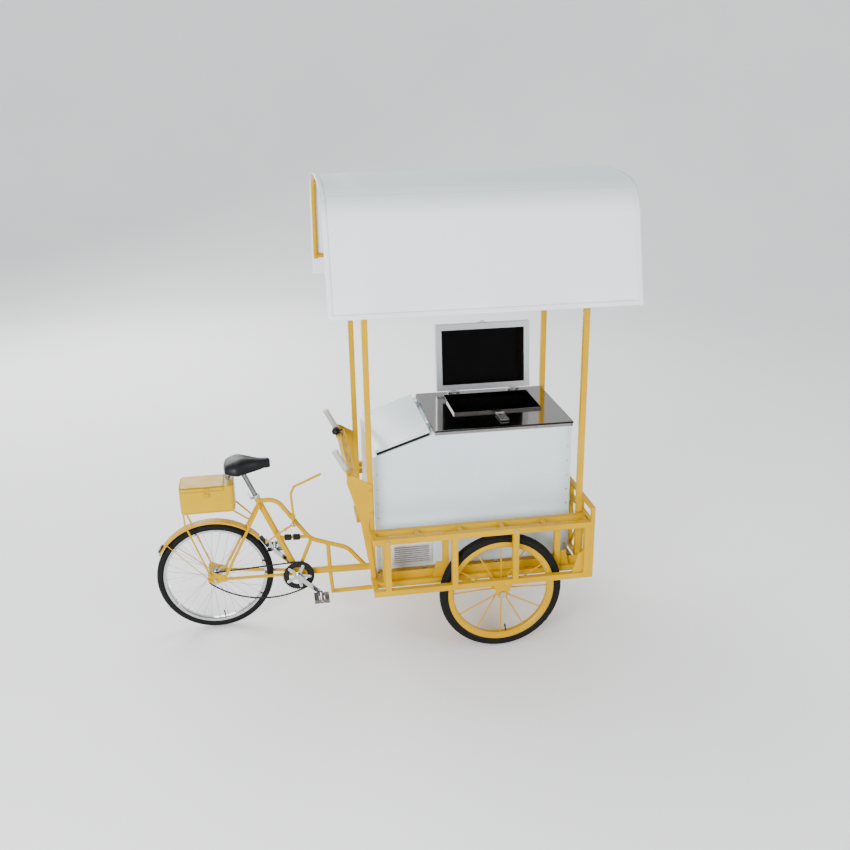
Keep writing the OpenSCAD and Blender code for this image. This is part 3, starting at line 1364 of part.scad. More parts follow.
platform_frame();
platform_deck();
side_guard_right();
side_guard_left();
front_guard();
front_axles();
canopy_posts();
canopy_frame();
canopy_cover();
cabinet_shell();
cabinet_liner();
cabinet_insulation();
cabinet_worktop();
slope_gasket();
louvre_grille();
compressor();
condenser_coil();
power_inlet();
handlebar();
handle_brackets();
handle_grips();
bell();
kingpin();
hinge_fixed_leaves();
frame_bolts();
bell_lever();
main_lid_frame();
main_lid_panel();
main_lid_fittings();
lid_hasp();
rear_lid();
rear_frame();
kingpin_bushes();
strut_sleeves();
toolbox_rack();
toolbox_body();
toolbox_lid();
rear_fender();
rear_reflector();
chain();
rear_axle_bolt();
seat_clamp();
seat_post();
saddle();
saddle_frame();
rear_tyre();
rear_rim();
rear_spokes();
rear_hub();
front_tyre_right();
front_rim_right();
front_tyre_left();
front_rim_left();
crankset();
chainring();
pedal_right();
pedal_left();
hand_lever();
brake_rod();
brake_pad();
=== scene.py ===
import bpy
import bmesh
import math
from mathutils import Matrix, Vector


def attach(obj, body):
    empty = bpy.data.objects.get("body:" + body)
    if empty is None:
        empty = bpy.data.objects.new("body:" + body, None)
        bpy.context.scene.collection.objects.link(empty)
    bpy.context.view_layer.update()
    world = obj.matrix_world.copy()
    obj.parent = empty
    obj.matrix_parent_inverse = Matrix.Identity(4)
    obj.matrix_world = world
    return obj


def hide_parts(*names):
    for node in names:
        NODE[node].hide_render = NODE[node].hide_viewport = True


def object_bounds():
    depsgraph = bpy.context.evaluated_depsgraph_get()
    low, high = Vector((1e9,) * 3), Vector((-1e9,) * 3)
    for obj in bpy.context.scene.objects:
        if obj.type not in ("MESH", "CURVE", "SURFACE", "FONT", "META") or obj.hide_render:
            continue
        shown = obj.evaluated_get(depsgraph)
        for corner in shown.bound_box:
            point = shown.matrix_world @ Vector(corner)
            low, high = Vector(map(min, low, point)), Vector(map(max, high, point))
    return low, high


# The looks of the pedal-driven vending cart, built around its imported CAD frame.
# Lengths are metres: X runs forward, Y to the cart's left, Z up from the ground.

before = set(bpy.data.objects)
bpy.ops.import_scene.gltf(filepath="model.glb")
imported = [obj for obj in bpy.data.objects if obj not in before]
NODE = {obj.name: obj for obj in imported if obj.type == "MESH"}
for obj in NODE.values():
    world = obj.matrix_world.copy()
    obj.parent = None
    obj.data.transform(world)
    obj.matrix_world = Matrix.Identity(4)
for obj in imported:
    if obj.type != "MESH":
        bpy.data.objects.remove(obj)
cad_low, cad_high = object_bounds()
cad_low, cad_high = list(cad_low), list(cad_high)

# Wheels: where the axles are, the tyre's outer radius and width, and the radius of the rim's bed
REAR_AXLE = (-0.965, 0, 0.33)
FRONT_AXLE_RIGHT = (0.6, -0.512, 0.345)
FRONT_AXLE_LEFT = (0.6, 0.512, 0.345)
REAR_TYRE = {"r": 0.330, "w": 0.046, "bed": 0.292}
FRONT_TYRE = {"r": 0.345, "w": 0.056, "bed": 0.299}

# ---------------------------------------------------------------- shader nodes

WEAVE_PITCH = 0.0022
WALL_RING_PITCH = 0.0042
MIX_FACTOR, MIX_A, MIX_B, MIX_RESULT = 0, 6, 7, 2


def new_material(name):
    m = bpy.data.materials.new(name)
    m.use_nodes = True
    nt = m.node_tree
    nt.nodes.clear()
    out = nt.nodes.new("ShaderNodeOutputMaterial")
    bsdf = nt.nodes.new("ShaderNodeBsdfPrincipled")
    nt.links.new(bsdf.outputs[0], out.inputs[0])
    return m, nt, bsdf


def coords(nt, scale=(1, 1, 1)):
    """Object coordinates, stretched to draw a noise out into streaks."""
    tc = nt.nodes.new("ShaderNodeTexCoord")
    mp = nt.nodes.new("ShaderNodeMapping")
    mp.inputs["Scale"].default_value = scale
    nt.links.new(tc.outputs["Object"], mp.inputs["Vector"])
    return mp.outputs[0]


def noise(nt, vector, scale, detail=4.0, rough=0.55):
    n = nt.nodes.new("ShaderNodeTexNoise")
    n.inputs["Scale"].default_value = scale
    n.inputs["Detail"].default_value = detail
    n.inputs["Roughness"].default_value = rough
    nt.links.new(vector, n.inputs["Vector"])
    return n.outputs["Fac"]


def fade(nt, fac, start, end):
    """Black up to start, white from end on."""
    r = nt.nodes.new("ShaderNodeValToRGB")
    for e, position, grey in zip(r.color_ramp.elements, (start, end), (0, 1)):
        e.position = position
        e.color = (grey, grey, grey, 1)
    nt.links.new(fac, r.inputs[0])
    return r.outputs[0]


def map_range(nt, value, from_min, from_max, to_min, to_max):
    r = nt.nodes.new("ShaderNodeMapRange")
    r.inputs["From Min"].default_value = from_min
    r.inputs["From Max"].default_value = from_max
    r.inputs["To Min"].default_value = to_min
    r.inputs["To Max"].default_value = to_max
    nt.links.new(value, r.inputs["Value"])
    return r.outputs[0]


def spread(nt, fac, low, high):
    """The middle band of a noise, stretched from low to high."""
    return map_range(nt, fac, 0.3, 0.7, low, high)


def maths(nt, op, a, b=None):
    n = nt.nodes.new("ShaderNodeMath")
    n.operation = op
    for k, v in enumerate((a, b)):
        if v is None:
            continue
        if isinstance(v, (int, float)):
            n.inputs[k].default_value = v
        else:
            nt.links.new(v, n.inputs[k])
    return n.outputs[0]


def separate(nt, vector):
    s = nt.nodes.new("ShaderNodeSeparateXYZ")
    nt.links.new(vector, s.inputs[0])
    return s.outputs


def blend_colour(nt, fac, a, b):
    n = nt.nodes.new("ShaderNodeMix")
    n.data_type = "RGBA"
    for key, v in ((MIX_FACTOR, fac), (MIX_A, a), (MIX_B, b)):
        if isinstance(v, (int, float)):
            n.inputs[key].default_value = v
        elif isinstance(v, tuple):
            n.inputs[key].default_value = (*v, 1)
        else:
            nt.links.new(v, n.inputs[key])
    return n.outputs[MIX_RESULT]


def rounded_normal(nt, radius):
    b = nt.nodes.new("ShaderNodeBevel")
    b.samples = 4
    b.inputs["Radius"].default_value = radius
    return b.outputs[0]


def bump(nt, bsdf, height, strength, distance, radius=0.0):
    b = nt.nodes.new("ShaderNodeBump")
    b.inputs["Strength"].default_value = strength
    b.inputs["Distance"].default_value = distance
    nt.links.new(height, b.inputs["Height"])
    if radius:
        nt.links.new(rounded_normal(nt, radius), b.inputs["Normal"])
    nt.links.new(b.outputs[0], bsdf.inputs["Normal"])


def edge_mask(nt, radius, low, high):
    """White along outer edges: where the rounded normal leaves the true one."""
    geo = nt.nodes.new("ShaderNodeNewGeometry")
    dot = nt.nodes.new("ShaderNodeVectorMath")
    dot.operation = "DOT_PRODUCT"
    nt.links.new(rounded_normal(nt, radius), dot.inputs[0])
    nt.links.new(geo.outputs["Normal"], dot.inputs[1])
    return map_range(nt, dot.outputs["Value"], low, high, 1, 0)


# ---------------------------------------------------------------- materials


def paint(name, colour, shade, dark, rough=(0.22, 0.4), radius=0.0015, wear=0.5, coat=0.35, orange=0.12,
          spec=0.3):
    """Sprayed enamel over steel: uneven tone, dust in patches, dull chips along the edges."""
    m, nt, bsdf = new_material(name)
    v = coords(nt)
    tone = spread(nt, noise(nt, v, 2.2, 5), 0, 1)
    base = blend_colour(nt, tone, colour, shade)
    smudge = fade(nt, noise(nt, v, 38, 6, 0.62), 0.62, 0.8)
    base = blend_colour(nt, maths(nt, "MULTIPLY", smudge, 0.16), base, dark)
    patchy = spread(nt, noise(nt, v, 24, 8, 0.7), -0.6, 1.0)
    chips = maths(nt, "MULTIPLY", edge_mask(nt, radius * 1.6, 0.62, 0.95), patchy)
    chips = maths(nt, "MAXIMUM", maths(nt, "MULTIPLY", chips, wear), 0.0)
    base = blend_colour(nt, chips, base, dark)
    nt.links.new(base, bsdf.inputs["Base Color"])
    nt.links.new(spread(nt, noise(nt, v, 11, 5), *rough), bsdf.inputs["Roughness"])
    bsdf.inputs["Coat Weight"].default_value = coat
    bsdf.inputs["Coat Roughness"].default_value = 0.16
    bsdf.inputs["Specular IOR Level"].default_value = spec
    bump(nt, bsdf, noise(nt, v, 420, 2), orange, 0.0004, radius)
    return m


def metal(name, colour, dark, rough=(0.2, 0.35), stretch=(1, 1, 1), scale=160, grain=0.12, radius=0.0008,
          metallic=1.0):
    """Bare or plated metal: a grain that may be drawn out, and a broad dull patch here and there."""
    m, nt, bsdf = new_material(name)
    streak = noise(nt, coords(nt, stretch), scale, 6, 0.6)
    broad = spread(nt, noise(nt, coords(nt), 5, 4), 0, 1)
    base = blend_colour(nt, spread(nt, streak, 0, 1), dark, colour)
    base = blend_colour(nt, maths(nt, "MULTIPLY", broad, 0.25), base, dark)
    nt.links.new(base, bsdf.inputs["Base Color"])
    bsdf.inputs["Metallic"].default_value = metallic
    nt.links.new(spread(nt, streak, *rough), bsdf.inputs["Roughness"])
    bump(nt, bsdf, streak, grain, 0.0004, radius)
    return m


def rubber(name, colour, dust, rough=(0.55, 0.75), scale=300, strength=0.25, radius=0.001, spec=0.2):
    """Rubber, plastic or foam: a fine grain with dust in patches."""
    m, nt, bsdf = new_material(name)
    v = coords(nt)
    patch = noise(nt, v, 9, 6, 0.6)
    amount = maths(nt, "MULTIPLY", fade(nt, patch, 0.42, 0.72), 0.35)
    nt.links.new(blend_colour(nt, amount, colour, dust), bsdf.inputs["Base Color"])
    nt.links.new(spread(nt, patch, *rough), bsdf.inputs["Roughness"])
    bsdf.inputs["Specular IOR Level"].default_value = spec
    bump(nt, bsdf, noise(nt, v, scale, 3), strength, 0.0006, radius)
    return m


def cloth_material(name, colour, shade):
    """Coated canvas: a fine weave under a soft sheen, faint creases, specks, and painted shade that darkens
    the upward-facing parts towards blue-grey.
    """
    m, nt, bsdf = new_material(name)
    tc = nt.nodes.new("ShaderNodeTexCoord")
    across = separate(nt, tc.outputs["UV"])
    warp = maths(nt, "SINE", maths(nt, "MULTIPLY", across[0], 2 * math.pi / WEAVE_PITCH))
    weft = maths(nt, "SINE", maths(nt, "MULTIPLY", across[1], 2 * math.pi / WEAVE_PITCH))
    weave = maths(nt, "MULTIPLY", warp, weft)
    v = coords(nt)
    broad = noise(nt, v, 1.6, 5)
    crease = noise(nt, coords(nt, (0.6, 2.4, 2.4)), 5, 5, 0.5)
    base = blend_colour(nt, spread(nt, broad, 0, 1), colour, shade)
    speck = fade(nt, noise(nt, v, 60, 6, 0.7), 0.6, 0.78)
    base = blend_colour(nt, maths(nt, "MULTIPLY", speck, 0.12), base, (0.42, 0.43, 0.45))
    # Painted shade: the more a face turns up, the more it is darkened towards blue-grey, standing in for the
    # dimmer crown.
    geo = nt.nodes.new("ShaderNodeNewGeometry")
    facing_up = maths(nt, "ABSOLUTE", separate(nt, geo.outputs["True Normal"])[2])
    painted_top_shade = map_range(nt, facing_up, 0.2, 1.0, 0, 1)
    base = blend_colour(nt, maths(nt, "MULTIPLY", painted_top_shade, 0.72), base, (0.43, 0.52, 0.54))
    nt.links.new(base, bsdf.inputs["Base Color"])
    nt.links.new(spread(nt, broad, 0.42, 0.56), bsdf.inputs["Roughness"])
    bsdf.inputs["Sheen Weight"].default_value = 0.12
    bsdf.inputs["Sheen Roughness"].default_value = 0.4
    height = maths(nt, "ADD", maths(nt, "MULTIPLY", weave, 0.00012), maths(nt, "MULTIPLY", crease, 0.010))
    bump(nt, bsdf, height, 0.35, 1.0)
    return m


def leather_material(name, colour, worn):
    m, nt, bsdf = new_material(name)
    v = coords(nt)
    cell = nt.nodes.new("ShaderNodeTexVoronoi")
    cell.inputs["Scale"].default_value = 620
    nt.links.new(v, cell.inputs["Vector"])
    broad = noise(nt, v, 16, 5)
    nt.links.new(blend_colour(nt, spread(nt, broad, 0, 0.6), colour, worn), bsdf.inputs["Base Color"])
    nt.links.new(spread(nt, broad, 0.3, 0.46), bsdf.inputs["Roughness"])
    bsdf.inputs["Specular IOR Level"].default_value = 0.2
    bsdf.inputs["Coat Weight"].default_value = 0.02
    bump(nt, bsdf, cell.outputs["Distance"], 0.35, 0.0006)
    return m


def tyre_material(name, centre, count, groove):
    """Tread bars across the crown and fine ribs round the walls, laid out by angle round the axle."""
    m, nt, bsdf = new_material(name)
    v = coords(nt)
    place = separate(nt, v)
    dx, dy, dz = (maths(nt, "SUBTRACT", place[k], centre[k]) for k in range(3))
    r = maths(nt, "SQRT", maths(nt, "ADD", maths(nt, "MULTIPLY", dx, dx), maths(nt, "MULTIPLY", dz, dz)))
    ang = maths(nt, "ARCTAN2", dz, dx)
    skew = maths(nt, "MULTIPLY", maths(nt, "MULTIPLY", maths(nt, "ABSOLUTE", dy), 26.0), 0.08)
    bars = maths(nt, "SINE", maths(nt, "MULTIPLY", maths(nt, "ADD", ang, skew), count))
    bars = maths(nt, "MULTIPLY", maths(nt, "GREATER_THAN", bars, 0.25), maths(nt, "GREATER_THAN", r, groove))
    rings = maths(nt, "SINE", maths(nt, "MULTIPLY", r, 2 * math.pi / WALL_RING_PITCH))
    wall = maths(nt, "MULTIPLY", rings, maths(nt, "LESS_THAN", r, groove))
    height = maths(nt, "ADD", maths(nt, "MULTIPLY", bars, -1.0), maths(nt, "MULTIPLY", wall, 0.12))
    patch = noise(nt, v, 14, 6, 0.6)
    dust = maths(nt, "MULTIPLY", fade(nt, patch, 0.4, 0.75), 0.28)
    base = blend_colour(nt, dust, (0.0035, 0.0035, 0.0038), (0.012, 0.011, 0.010))
    nt.links.new(base, bsdf.inputs["Base Color"])
    nt.links.new(spread(nt, patch, 0.5, 0.72), bsdf.inputs["Roughness"])
    bsdf.inputs["Specular IOR Level"].default_value = 0.14
    bump(nt, bsdf, height, 0.7, 0.0012)
    return m


YELLOW = paint("frame_enamel", (0.56, 0.325, 0.0), (0.46, 0.25, 0.0), (0.11, 0.05, 0.008),
               coat=0.03, spec=0.1)
YELLOW_BOX = paint("toolbox_enamel", (0.54, 0.335, 0.0), (0.47, 0.275, 0.0), (0.15, 0.08, 0.01),
                   radius=0.011, coat=0.04, wear=0.1, spec=0.1)
WHITE = paint("cabinet_enamel", (0.62, 0.72, 0.76), (0.54, 0.65, 0.70), (0.30, 0.33, 0.35),
              rough=(0.16, 0.28), wear=0.25, coat=0.4, orange=0.04)
DECK = paint("deck_enamel", (0.50, 0.26, 0.01), (0.30, 0.16, 0.02), (0.08, 0.05, 0.03),
             rough=(0.45, 0.65), wear=0.8, coat=0.0, spec=0.15)
STEEL = metal("mirror_stainless", (0.30, 0.28, 0.27), (0.19, 0.17, 0.16), (0.06, 0.14),
              stretch=(2, 40, 2), scale=22, grain=0.02)
GRILLE = metal("grille_chrome", (0.92, 0.93, 0.94), (0.74, 0.75, 0.77), (0.3, 0.45),
               scale=60, grain=0.04, metallic=0.55)
LIDMETAL = metal("lid_aluminium", (0.60, 0.62, 0.64), (0.44, 0.46, 0.48), (0.3, 0.44),
                 stretch=(60, 2, 2), scale=24, grain=0.06, radius=0.002)
ZINC = metal("zinc_plate", (0.60, 0.60, 0.61), (0.34, 0.34, 0.36), (0.25, 0.42), scale=90, grain=0.15)
CHROME = metal("chrome", (0.66, 0.67, 0.69), (0.42, 0.43, 0.45), (0.06, 0.16), scale=60, grain=0.03)
# Dark chrome for the seat post and pedals; on the saddle springs and rails it is painted shade.
POST = metal("dark_chrome_and_painted_shade", (0.26, 0.26, 0.27), (0.13, 0.13, 0.14), (0.12, 0.24), scale=60, grain=0.05)
DARK = metal("oiled_steel", (0.045, 0.042, 0.04), (0.012, 0.011, 0.010), (0.32, 0.5), scale=140, grain=0.2)
BRONZE = metal("bronze", (0.52, 0.34, 0.13), (0.30, 0.19, 0.07), (0.25, 0.4))
LINER = metal("liner_sheet", (0.055, 0.055, 0.058), (0.02, 0.02, 0.021), (0.25, 0.4),
              stretch=(4, 4, 60), scale=16, grain=0.05)
RUBBER = rubber("black_rubber", (0.005, 0.005, 0.005), (0.014, 0.013, 0.012))
GRIP = rubber("grip_rubber", (0.42, 0.43, 0.36), (0.28, 0.28, 0.24), (0.4, 0.55))
PLASTIC = rubber("black_plastic", (0.005, 0.005, 0.006), (0.012, 0.012, 0.012), (0.3, 0.42),
                 scale=500, strength=0.08)
PANEL = rubber("lid_panel_gloss", (0.001, 0.001, 0.001), (0.003, 0.0025, 0.0025), (0.08, 0.14),
               scale=30, strength=0.02, radius=0.002, spec=0.06)
FOAM = rubber("foam", (0.78, 0.66, 0.36), (0.66, 0.54, 0.28), (0.8, 0.95), scale=240, strength=0.6)
LENS = rubber("red_lens", (0.045, 0.006, 0.005), (0.02, 0.006, 0.005), (0.08, 0.16),
              scale=260, strength=0.5, spec=0.5)
CANVAS = cloth_material("canopy_canvas", (0.84, 0.87, 0.88), (0.80, 0.835, 0.85))
TAPE = cloth_material("canopy_tape", (0.80, 0.83, 0.85), (0.74, 0.78, 0.81))
LEATHER = leather_material("saddle_vinyl", (0.0025, 0.003, 0.004), (0.007, 0.008, 0.010))
REAR_TREAD = tyre_material("rear_tyre_rubber", REAR_AXLE, 92, 0.316)
RIGHT_TREAD = tyre_material("right_tyre_rubber", FRONT_AXLE_RIGHT, 84, 0.328)
LEFT_TREAD = tyre_material("left_tyre_rubber", FRONT_AXLE_LEFT, 84, 0.328)

# Which CAD nodes wear which material
DRESS = {
    "platform_frame side_guard_right side_guard_left front_guard canopy_posts canopy_frame handlebar "
    "handle_brackets rear_frame toolbox_rack rear_fender front_rim_right front_rim_left hand_lever "
    "brake_rod": YELLOW,
    "toolbox_body toolbox_lid": YELLOW_BOX,
    "cabinet_shell rear_lid": WHITE,
    "cabinet_worktop": STEEL,
    "louvre_grille": GRILLE,
    "cabinet_liner": LINER,
    "main_lid_frame": LIDMETAL,
    "front_axles frame_bolts kingpin hinge_fixed_leaves main_lid_fittings lid_hasp rear_axle_bolt seat_clamp "
    "saddle_frame rear_spokes": ZINC,
    "rear_rim rear_hub crankset": CHROME,
    "seat_post pedal_right pedal_left": POST,
    "chain chainring condenser_coil bell": DARK,
    "platform_deck": DECK,
    "kingpin_bushes": BRONZE,
    "canopy_cover": CANVAS,
    "cabinet_insulation": FOAM,
    "slope_gasket strut_sleeves brake_pad": RUBBER,
    "handle_grips": GRIP,
    "compressor power_inlet bell_lever": PLASTIC,
    "main_lid_panel": PANEL,
    "saddle": LEATHER,
    "rear_reflector": LENS,
    "rear_tyre": REAR_TREAD,
    "front_tyre_right": RIGHT_TREAD,
    "front_tyre_left": LEFT_TREAD,
}
for names, material in DRESS.items():
    for n in names.split():
        slots = NODE[n].data.materials
        if len(slots):
            for k in range(len(slots)):
                slots[k] = material
        else:
            slots.append(material)

# ---------------------------------------------------------------- mesh helpers


def add_object(name, bm, material, smooth=True):
    me = bpy.data.meshes.new(name)
    bm.to_mesh(me)
    bm.free()
    me.materials.append(material)
    for p in me.polygons:
        p.use_smooth = smooth
    o = bpy.data.objects.new(name, me)
    bpy.context.scene.collection.objects.link(o)
    return o


def piece(name, bm, material, body, split=None):
    """A closed, smooth piece that rides on a body, with its edges over split degrees kept sharp."""
    bmesh.ops.recalc_face_normals(bm, faces=bm.faces)
    o = add_object(name, bm, material)
    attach(o, body)
    if split:
        modify(o, "EDGE_SPLIT", split_angle=math.radians(split))
    return o


def cloth_piece(name, bm, material, smooth=True):
    o = add_object(name, bm, material, smooth)
    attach(o, "platform")
    return o


def modify(o, kind, **settings):
    mod = o.modifiers.new(kind.lower(), kind)
    for k, v in settings.items():
        setattr(mod, k, v)


def join_rings(bm, a, b):
    """A closed band of faces between two rings of as many points."""
    for k in range(len(a)):
        j = (k + 1) % len(a)
        bm.faces.new((a[k], a[j], b[j], b[k]))


def tube(bm, path, radius, sides=12):
    """A round tube with flat ends along a list of points, carried round by its own last direction."""
    rings = []
    up = None
    for i, p in enumerate(path):
        t = (path[min(len(path) - 1, i + 1)] - path[max(0, i - 1)]).normalized()
        if up is None:
            up = t.orthogonal().normalized()
        up = (up - t * up.dot(t)).normalized()
        side = t.cross(up)
        turns = [2 * math.pi * k / sides for k in range(sides)]
        rings.append([bm.verts.new(p + (up * math.cos(a) + side * math.sin(a)) * radius) for a in turns])
    for a, b in zip(rings, rings[1:]):
        join_rings(bm, a, b)
    bm.faces.new(rings[0][::-1])
    bm.faces.new(rings[-1])


def rod(bm, a, b, r, sides=12):
    tube(bm, [Vector(a), Vector(b)], r, sides)


def spin(centre, r, y, a):
    """The point at radius r and angle a round an axle along Y, y along it from the centre."""
    return Vector(centre) + Vector((r * math.cos(a), y, r * math.sin(a)))


def lathe(bm, profile, centre, sides):
    """A closed profile of (radius, offset along Y) turned about the axle through a centre."""
    rings = []
    for k in range(sides):
        rings.append([bm.verts.new(spin(centre, r, y, 2 * math.pi * k / sides)) for r, y in profile])
    for k in range(sides):
        join_rings(bm, rings[k], rings[(k + 1) % sides])


def curve_through(points, steps):
    """A Catmull-Rom curve through a list of points, which it also ends on."""
    out = []
    last = len(points) - 1
    for i in range(last):
        p0, p1, p2, p3 = points[max(0, i - 1)], points[i], points[i + 1], points[min(last, i + 2)]
        for k in range(steps):
            t = k / steps
            square = (2 * p0 - 5 * p1 + 4 * p2 - p3) * t * t
            cube = (3 * p1 - p0 - 3 * p2 + p3) * t ** 3
            out.append(0.5 * ((2 * p1) + (p2 - p0) * t + square + cube))
    out.append(points[-1])
    return out


# ---------------------------------------------------------------- canopy cloth

# The outline, as the CAD canopy has it: half width and height at the hem, the straight leg and its lean,
# the shoulder's radius, and how far the crown's arc turns on each side
HALF, HEM = 0.613, 1.934
LEG, LEAN = 0.471, math.radians(15)
SHOULDER, CROWN = 0.190, math.radians(8)
CANOPY_L = 1.579
CANOPY_X = (cad_high[0] - CANOPY_L, cad_high[0])
END_HOOP_IN = 0.022
HOOPS = [CANOPY_X[0] + END_HOOP_IN, -0.092, (CANOPY_X[0] + CANOPY_X[1]) / 2, 1.070, CANOPY_X[1] - END_HOOP_IN]

SHEET_T = 0.0016
SHEET_END_IN = 0.001
SHEET_CELLS_X, SHEET_CELLS_S = 150, 190
HEM_IN, EDGE_IN = 0.014, 0.015
BAND_W, SEAM_W = 0.026, 0.012
STITCH_PITCH = 0.0062

# Worked out: the leg's top, the centres of the shoulder's and the crown's arcs, and the lengths along them
leg_top = (HALF - LEG * math.sin(LEAN), HEM + LEG * math.cos(LEAN))
crown_r = (leg_top[0] - SHOULDER * (math.cos(LEAN) - math.sin(CROWN))) / math.sin(CROWN)
shoulder_at = (leg_top[0] - SHOULDER * math.cos(LEAN), leg_top[1] - SHOULDER * math.sin(LEAN))
crown_at = (shoulder_at[0] - (crown_r - SHOULDER) * math.sin(CROWN),
            shoulder_at[1] - (crown_r - SHOULDER) * math.cos(CROWN))
arc_shoulder = SHOULDER * (math.pi / 2 - CROWN - LEAN)
half_len = LEG + arc_shoulder + crown_r * CROWN
total = 2 * half_len


def outline(s):
    """Point and outward normal of the canopy's outline, s along it from the right hem to the left one."""
    side = -1 if s < half_len else 1
    d = s if s < half_len else 2 * half_len - s
    if d < LEG:
        n = (math.cos(LEAN), math.sin(LEAN))
        p = (HALF - d * math.sin(LEAN), HEM + d * math.cos(LEAN))
    elif d < LEG + arc_shoulder:
        a = LEAN + (d - LEG) / SHOULDER
        n = (math.cos(a), math.sin(a))
        p = (shoulder_at[0] + SHOULDER * n[0], shoulder_at[1] + SHOULDER * n[1])
    else:
        a = math.pi / 2 - CROWN + (d - LEG - arc_shoulder) / crown_r
        n = (math.cos(a), math.sin(a))
        p = (crown_at[0] + crown_r * n[0], crown_at[1] + crown_r * n[1])
    return (side * p[0], p[1]), (side * n[0], n[1])


def sag(x, s):
    """How far the cloth draws in between two hoops, and how its free hem ripples."""
    i = min(3, max(k for k in range(5) if k == 0 or HOOPS[k] <= x))
    t = min(1, max(0, (x - HOOPS[i]) / (HOOPS[i + 1] - HOOPS[i])))
    between = math.sin(math.pi * t) ** 1.4
    d = min(s, 2 * half_len - s)
    deep = 0.0036 if d < LEG else 0.0048
    pull = deep * between * (0.7 + 0.3 * math.sin(3.1 * x + 2.0 * s))
    free = max(0.0, 1 - d / 0.11)
    phase = 0.7 if s < half_len else 2.6
    ripple = free ** 1.5 * (0.0046 * math.sin(9.0 * x + 1.3) + 0.0026 * math.sin(23.0 * x + phase))
    corner = free * max(0.0, 1 - abs(x - CANOPY_X[0]) / 0.16) * 0.010
    return pull - ripple + corner


def canopy_point(x, s):
    p, n = outline(s)
    d = -0.0006 - sag(x, s)
    return Vector((x, p[0] + n[0] * d, p[1] + n[1] * d))


def along_canopy(i, count):
    """The place along X of the i-th of count steps, from the sheet's rear edge to its front one."""
    return CANOPY_X[0] + SHEET_END_IN + (CANOPY_X[1] - CANOPY_X[0] - 2 * SHEET_END_IN) * i / count


def canopy_sheet():
    nx, ns = SHEET_CELLS_X, SHEET_CELLS_S
    bm = bmesh.new()
    grid = []
    for i in range(nx + 1):
        x = along_canopy(i, nx)
        grid.append([bm.verts.new(canopy_point(x, total * j / ns)) for j in range(ns + 1)])
    uv = bm.loops.layers.uv.new("cut")
    for i in range(nx):
        for j in range(ns):
            corners = ((i, j), (i + 1, j), (i + 1, j + 1), (i, j + 1))
            f = bm.faces.new([grid[a][b] for a, b in corners])
            for lp, (a, b) in zip(f.loops, corners):
                lp[uv].uv = (CANOPY_L * a / nx, total * b / ns)
    o = cloth_piece("canopy_sheet", bm, CANVAS)
    outward = 1 if o.data.polygons[0].normal.y > 0 else -1
    modify(o, "SOLIDIFY", thickness=SHEET_T, offset=outward)
    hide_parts("canopy_cover")
    return o


def lengthwise(s):
    """A line along the cart at s round the canopy: points, their normals, and the direction across."""
    pts = []
    for i in range(SHEET_CELLS_X + 1):
        x = along_canopy(i, SHEET_CELLS_X)
        n = outline(s)[1]
        across = canopy_point(x, min(total, s + 0.004)) - canopy_point(x, max(0, s - 0.004))
        pts.append((canopy_point(x, s), Vector((0, n[0], n[1])), across.normalized()))
    return pts


def crosswise(x):
    """A line over the canopy at x: points, their normals, and the direction across."""
    pts = []
    for j in range(SHEET_CELLS_S + 1):
        s = total * j / SHEET_CELLS_S
        n = outline(s)[1]
        pts.append((canopy_point(x, s), Vector((0, n[0], n[1])), Vector((1, 0, 0))))
    return pts


def tape(name, points, width, lift):
    """A flat sewn band that follows the cloth: points with normals, laid just proud of it."""
    bm = bmesh.new()
    uv = bm.loops.layers.uv.new("cut")
    rows = []
    for p, n, w in points:
        rows.append([bm.verts.new(p + n * lift + w * width * k) for k in (-0.5, -0.17, 0.17, 0.5)])
    run = 0.0
    for a, b in zip(rows, rows[1:]):
        step = (b[0].co - a[0].co).length
        for k in range(3):
            f = bm.faces.new((a[k], b[k], b[k + 1], a[k + 1]))
            for lp, (u, v) in zip(f.loops, ((run, k), (run + step, k), (run + step, k + 1), (run, k + 1))):
                lp[uv].uv = (u, v * width / 3)
        run += step
    o = cloth_piece(name, bm, TAPE)
    modify(o, "SOLIDIFY", thickness=0.001, offset=0)
    return o


def stitches(name, points, across, lift):
    """A run of short thread stitches along a band, each a little ridge."""
    bm = bmesh.new()
    todo = 0.0
    for (p0, n0, w0), (p1, n1, w1) in zip(points[:-1], points[1:]):
        seg = p1 - p0
        length = seg.length
        while todo < length:
            c = p0.lerp(p1, todo / length) + n0 * lift + w0 * across
            d = seg.normalized() * STITCH_PITCH * 0.31
            e = w0 * 0.0005
            h = n0 * 0.00035
            corners = (-d - e, -d + e, d + e, d - e, -d * 0.6 + h, d * 0.6 + h)
            vs = [bm.verts.new(c + q) for q in corners]
            for f in ((0, 1, 4), (2, 3, 5), (1, 2, 5, 4), (3, 0, 4, 5)):
                bm.faces.new([vs[k] for k in f])
            todo += STITCH_PITCH
        todo -= length
    o = cloth_piece(name, bm, TAPE, smooth=False)
    return o


canopy = canopy_sheet()
rear_edge, front_edge = CANOPY_X[0] + EDGE_IN, CANOPY_X[1] - EDGE_IN
hems = [
    tape("hem_band_right", lengthwise(HEM_IN), BAND_W, 0.0006),
    tape("hem_band_left", lengthwise(total - HEM_IN), BAND_W, 0.0006),
    tape("edge_band_rear", crosswise(rear_edge), BAND_W, 0.0009),
    tape("edge_band_front", crosswise(front_edge), BAND_W, 0.0009),
    tape("seam_right", lengthwise(LEG + arc_shoulder * 0.55), SEAM_W, 0.0006),
    tape("seam_left", lengthwise(total - LEG - arc_shoulder * 0.55), SEAM_W, 0.0006),
    stitches("stitch_hem_right", lengthwise(HEM_IN), 0.010, 0.0013),
    stitches("stitch_hem_left", lengthwise(total - HEM_IN), -0.010, 0.0013),
    stitches("stitch_edge_rear", crosswise(rear_edge), 0.010, 0.0016),
    stitches("stitch_edge_front", crosswise(front_edge), -0.010, 0.0016),
]

# ---------------------------------------------------------------- saddle

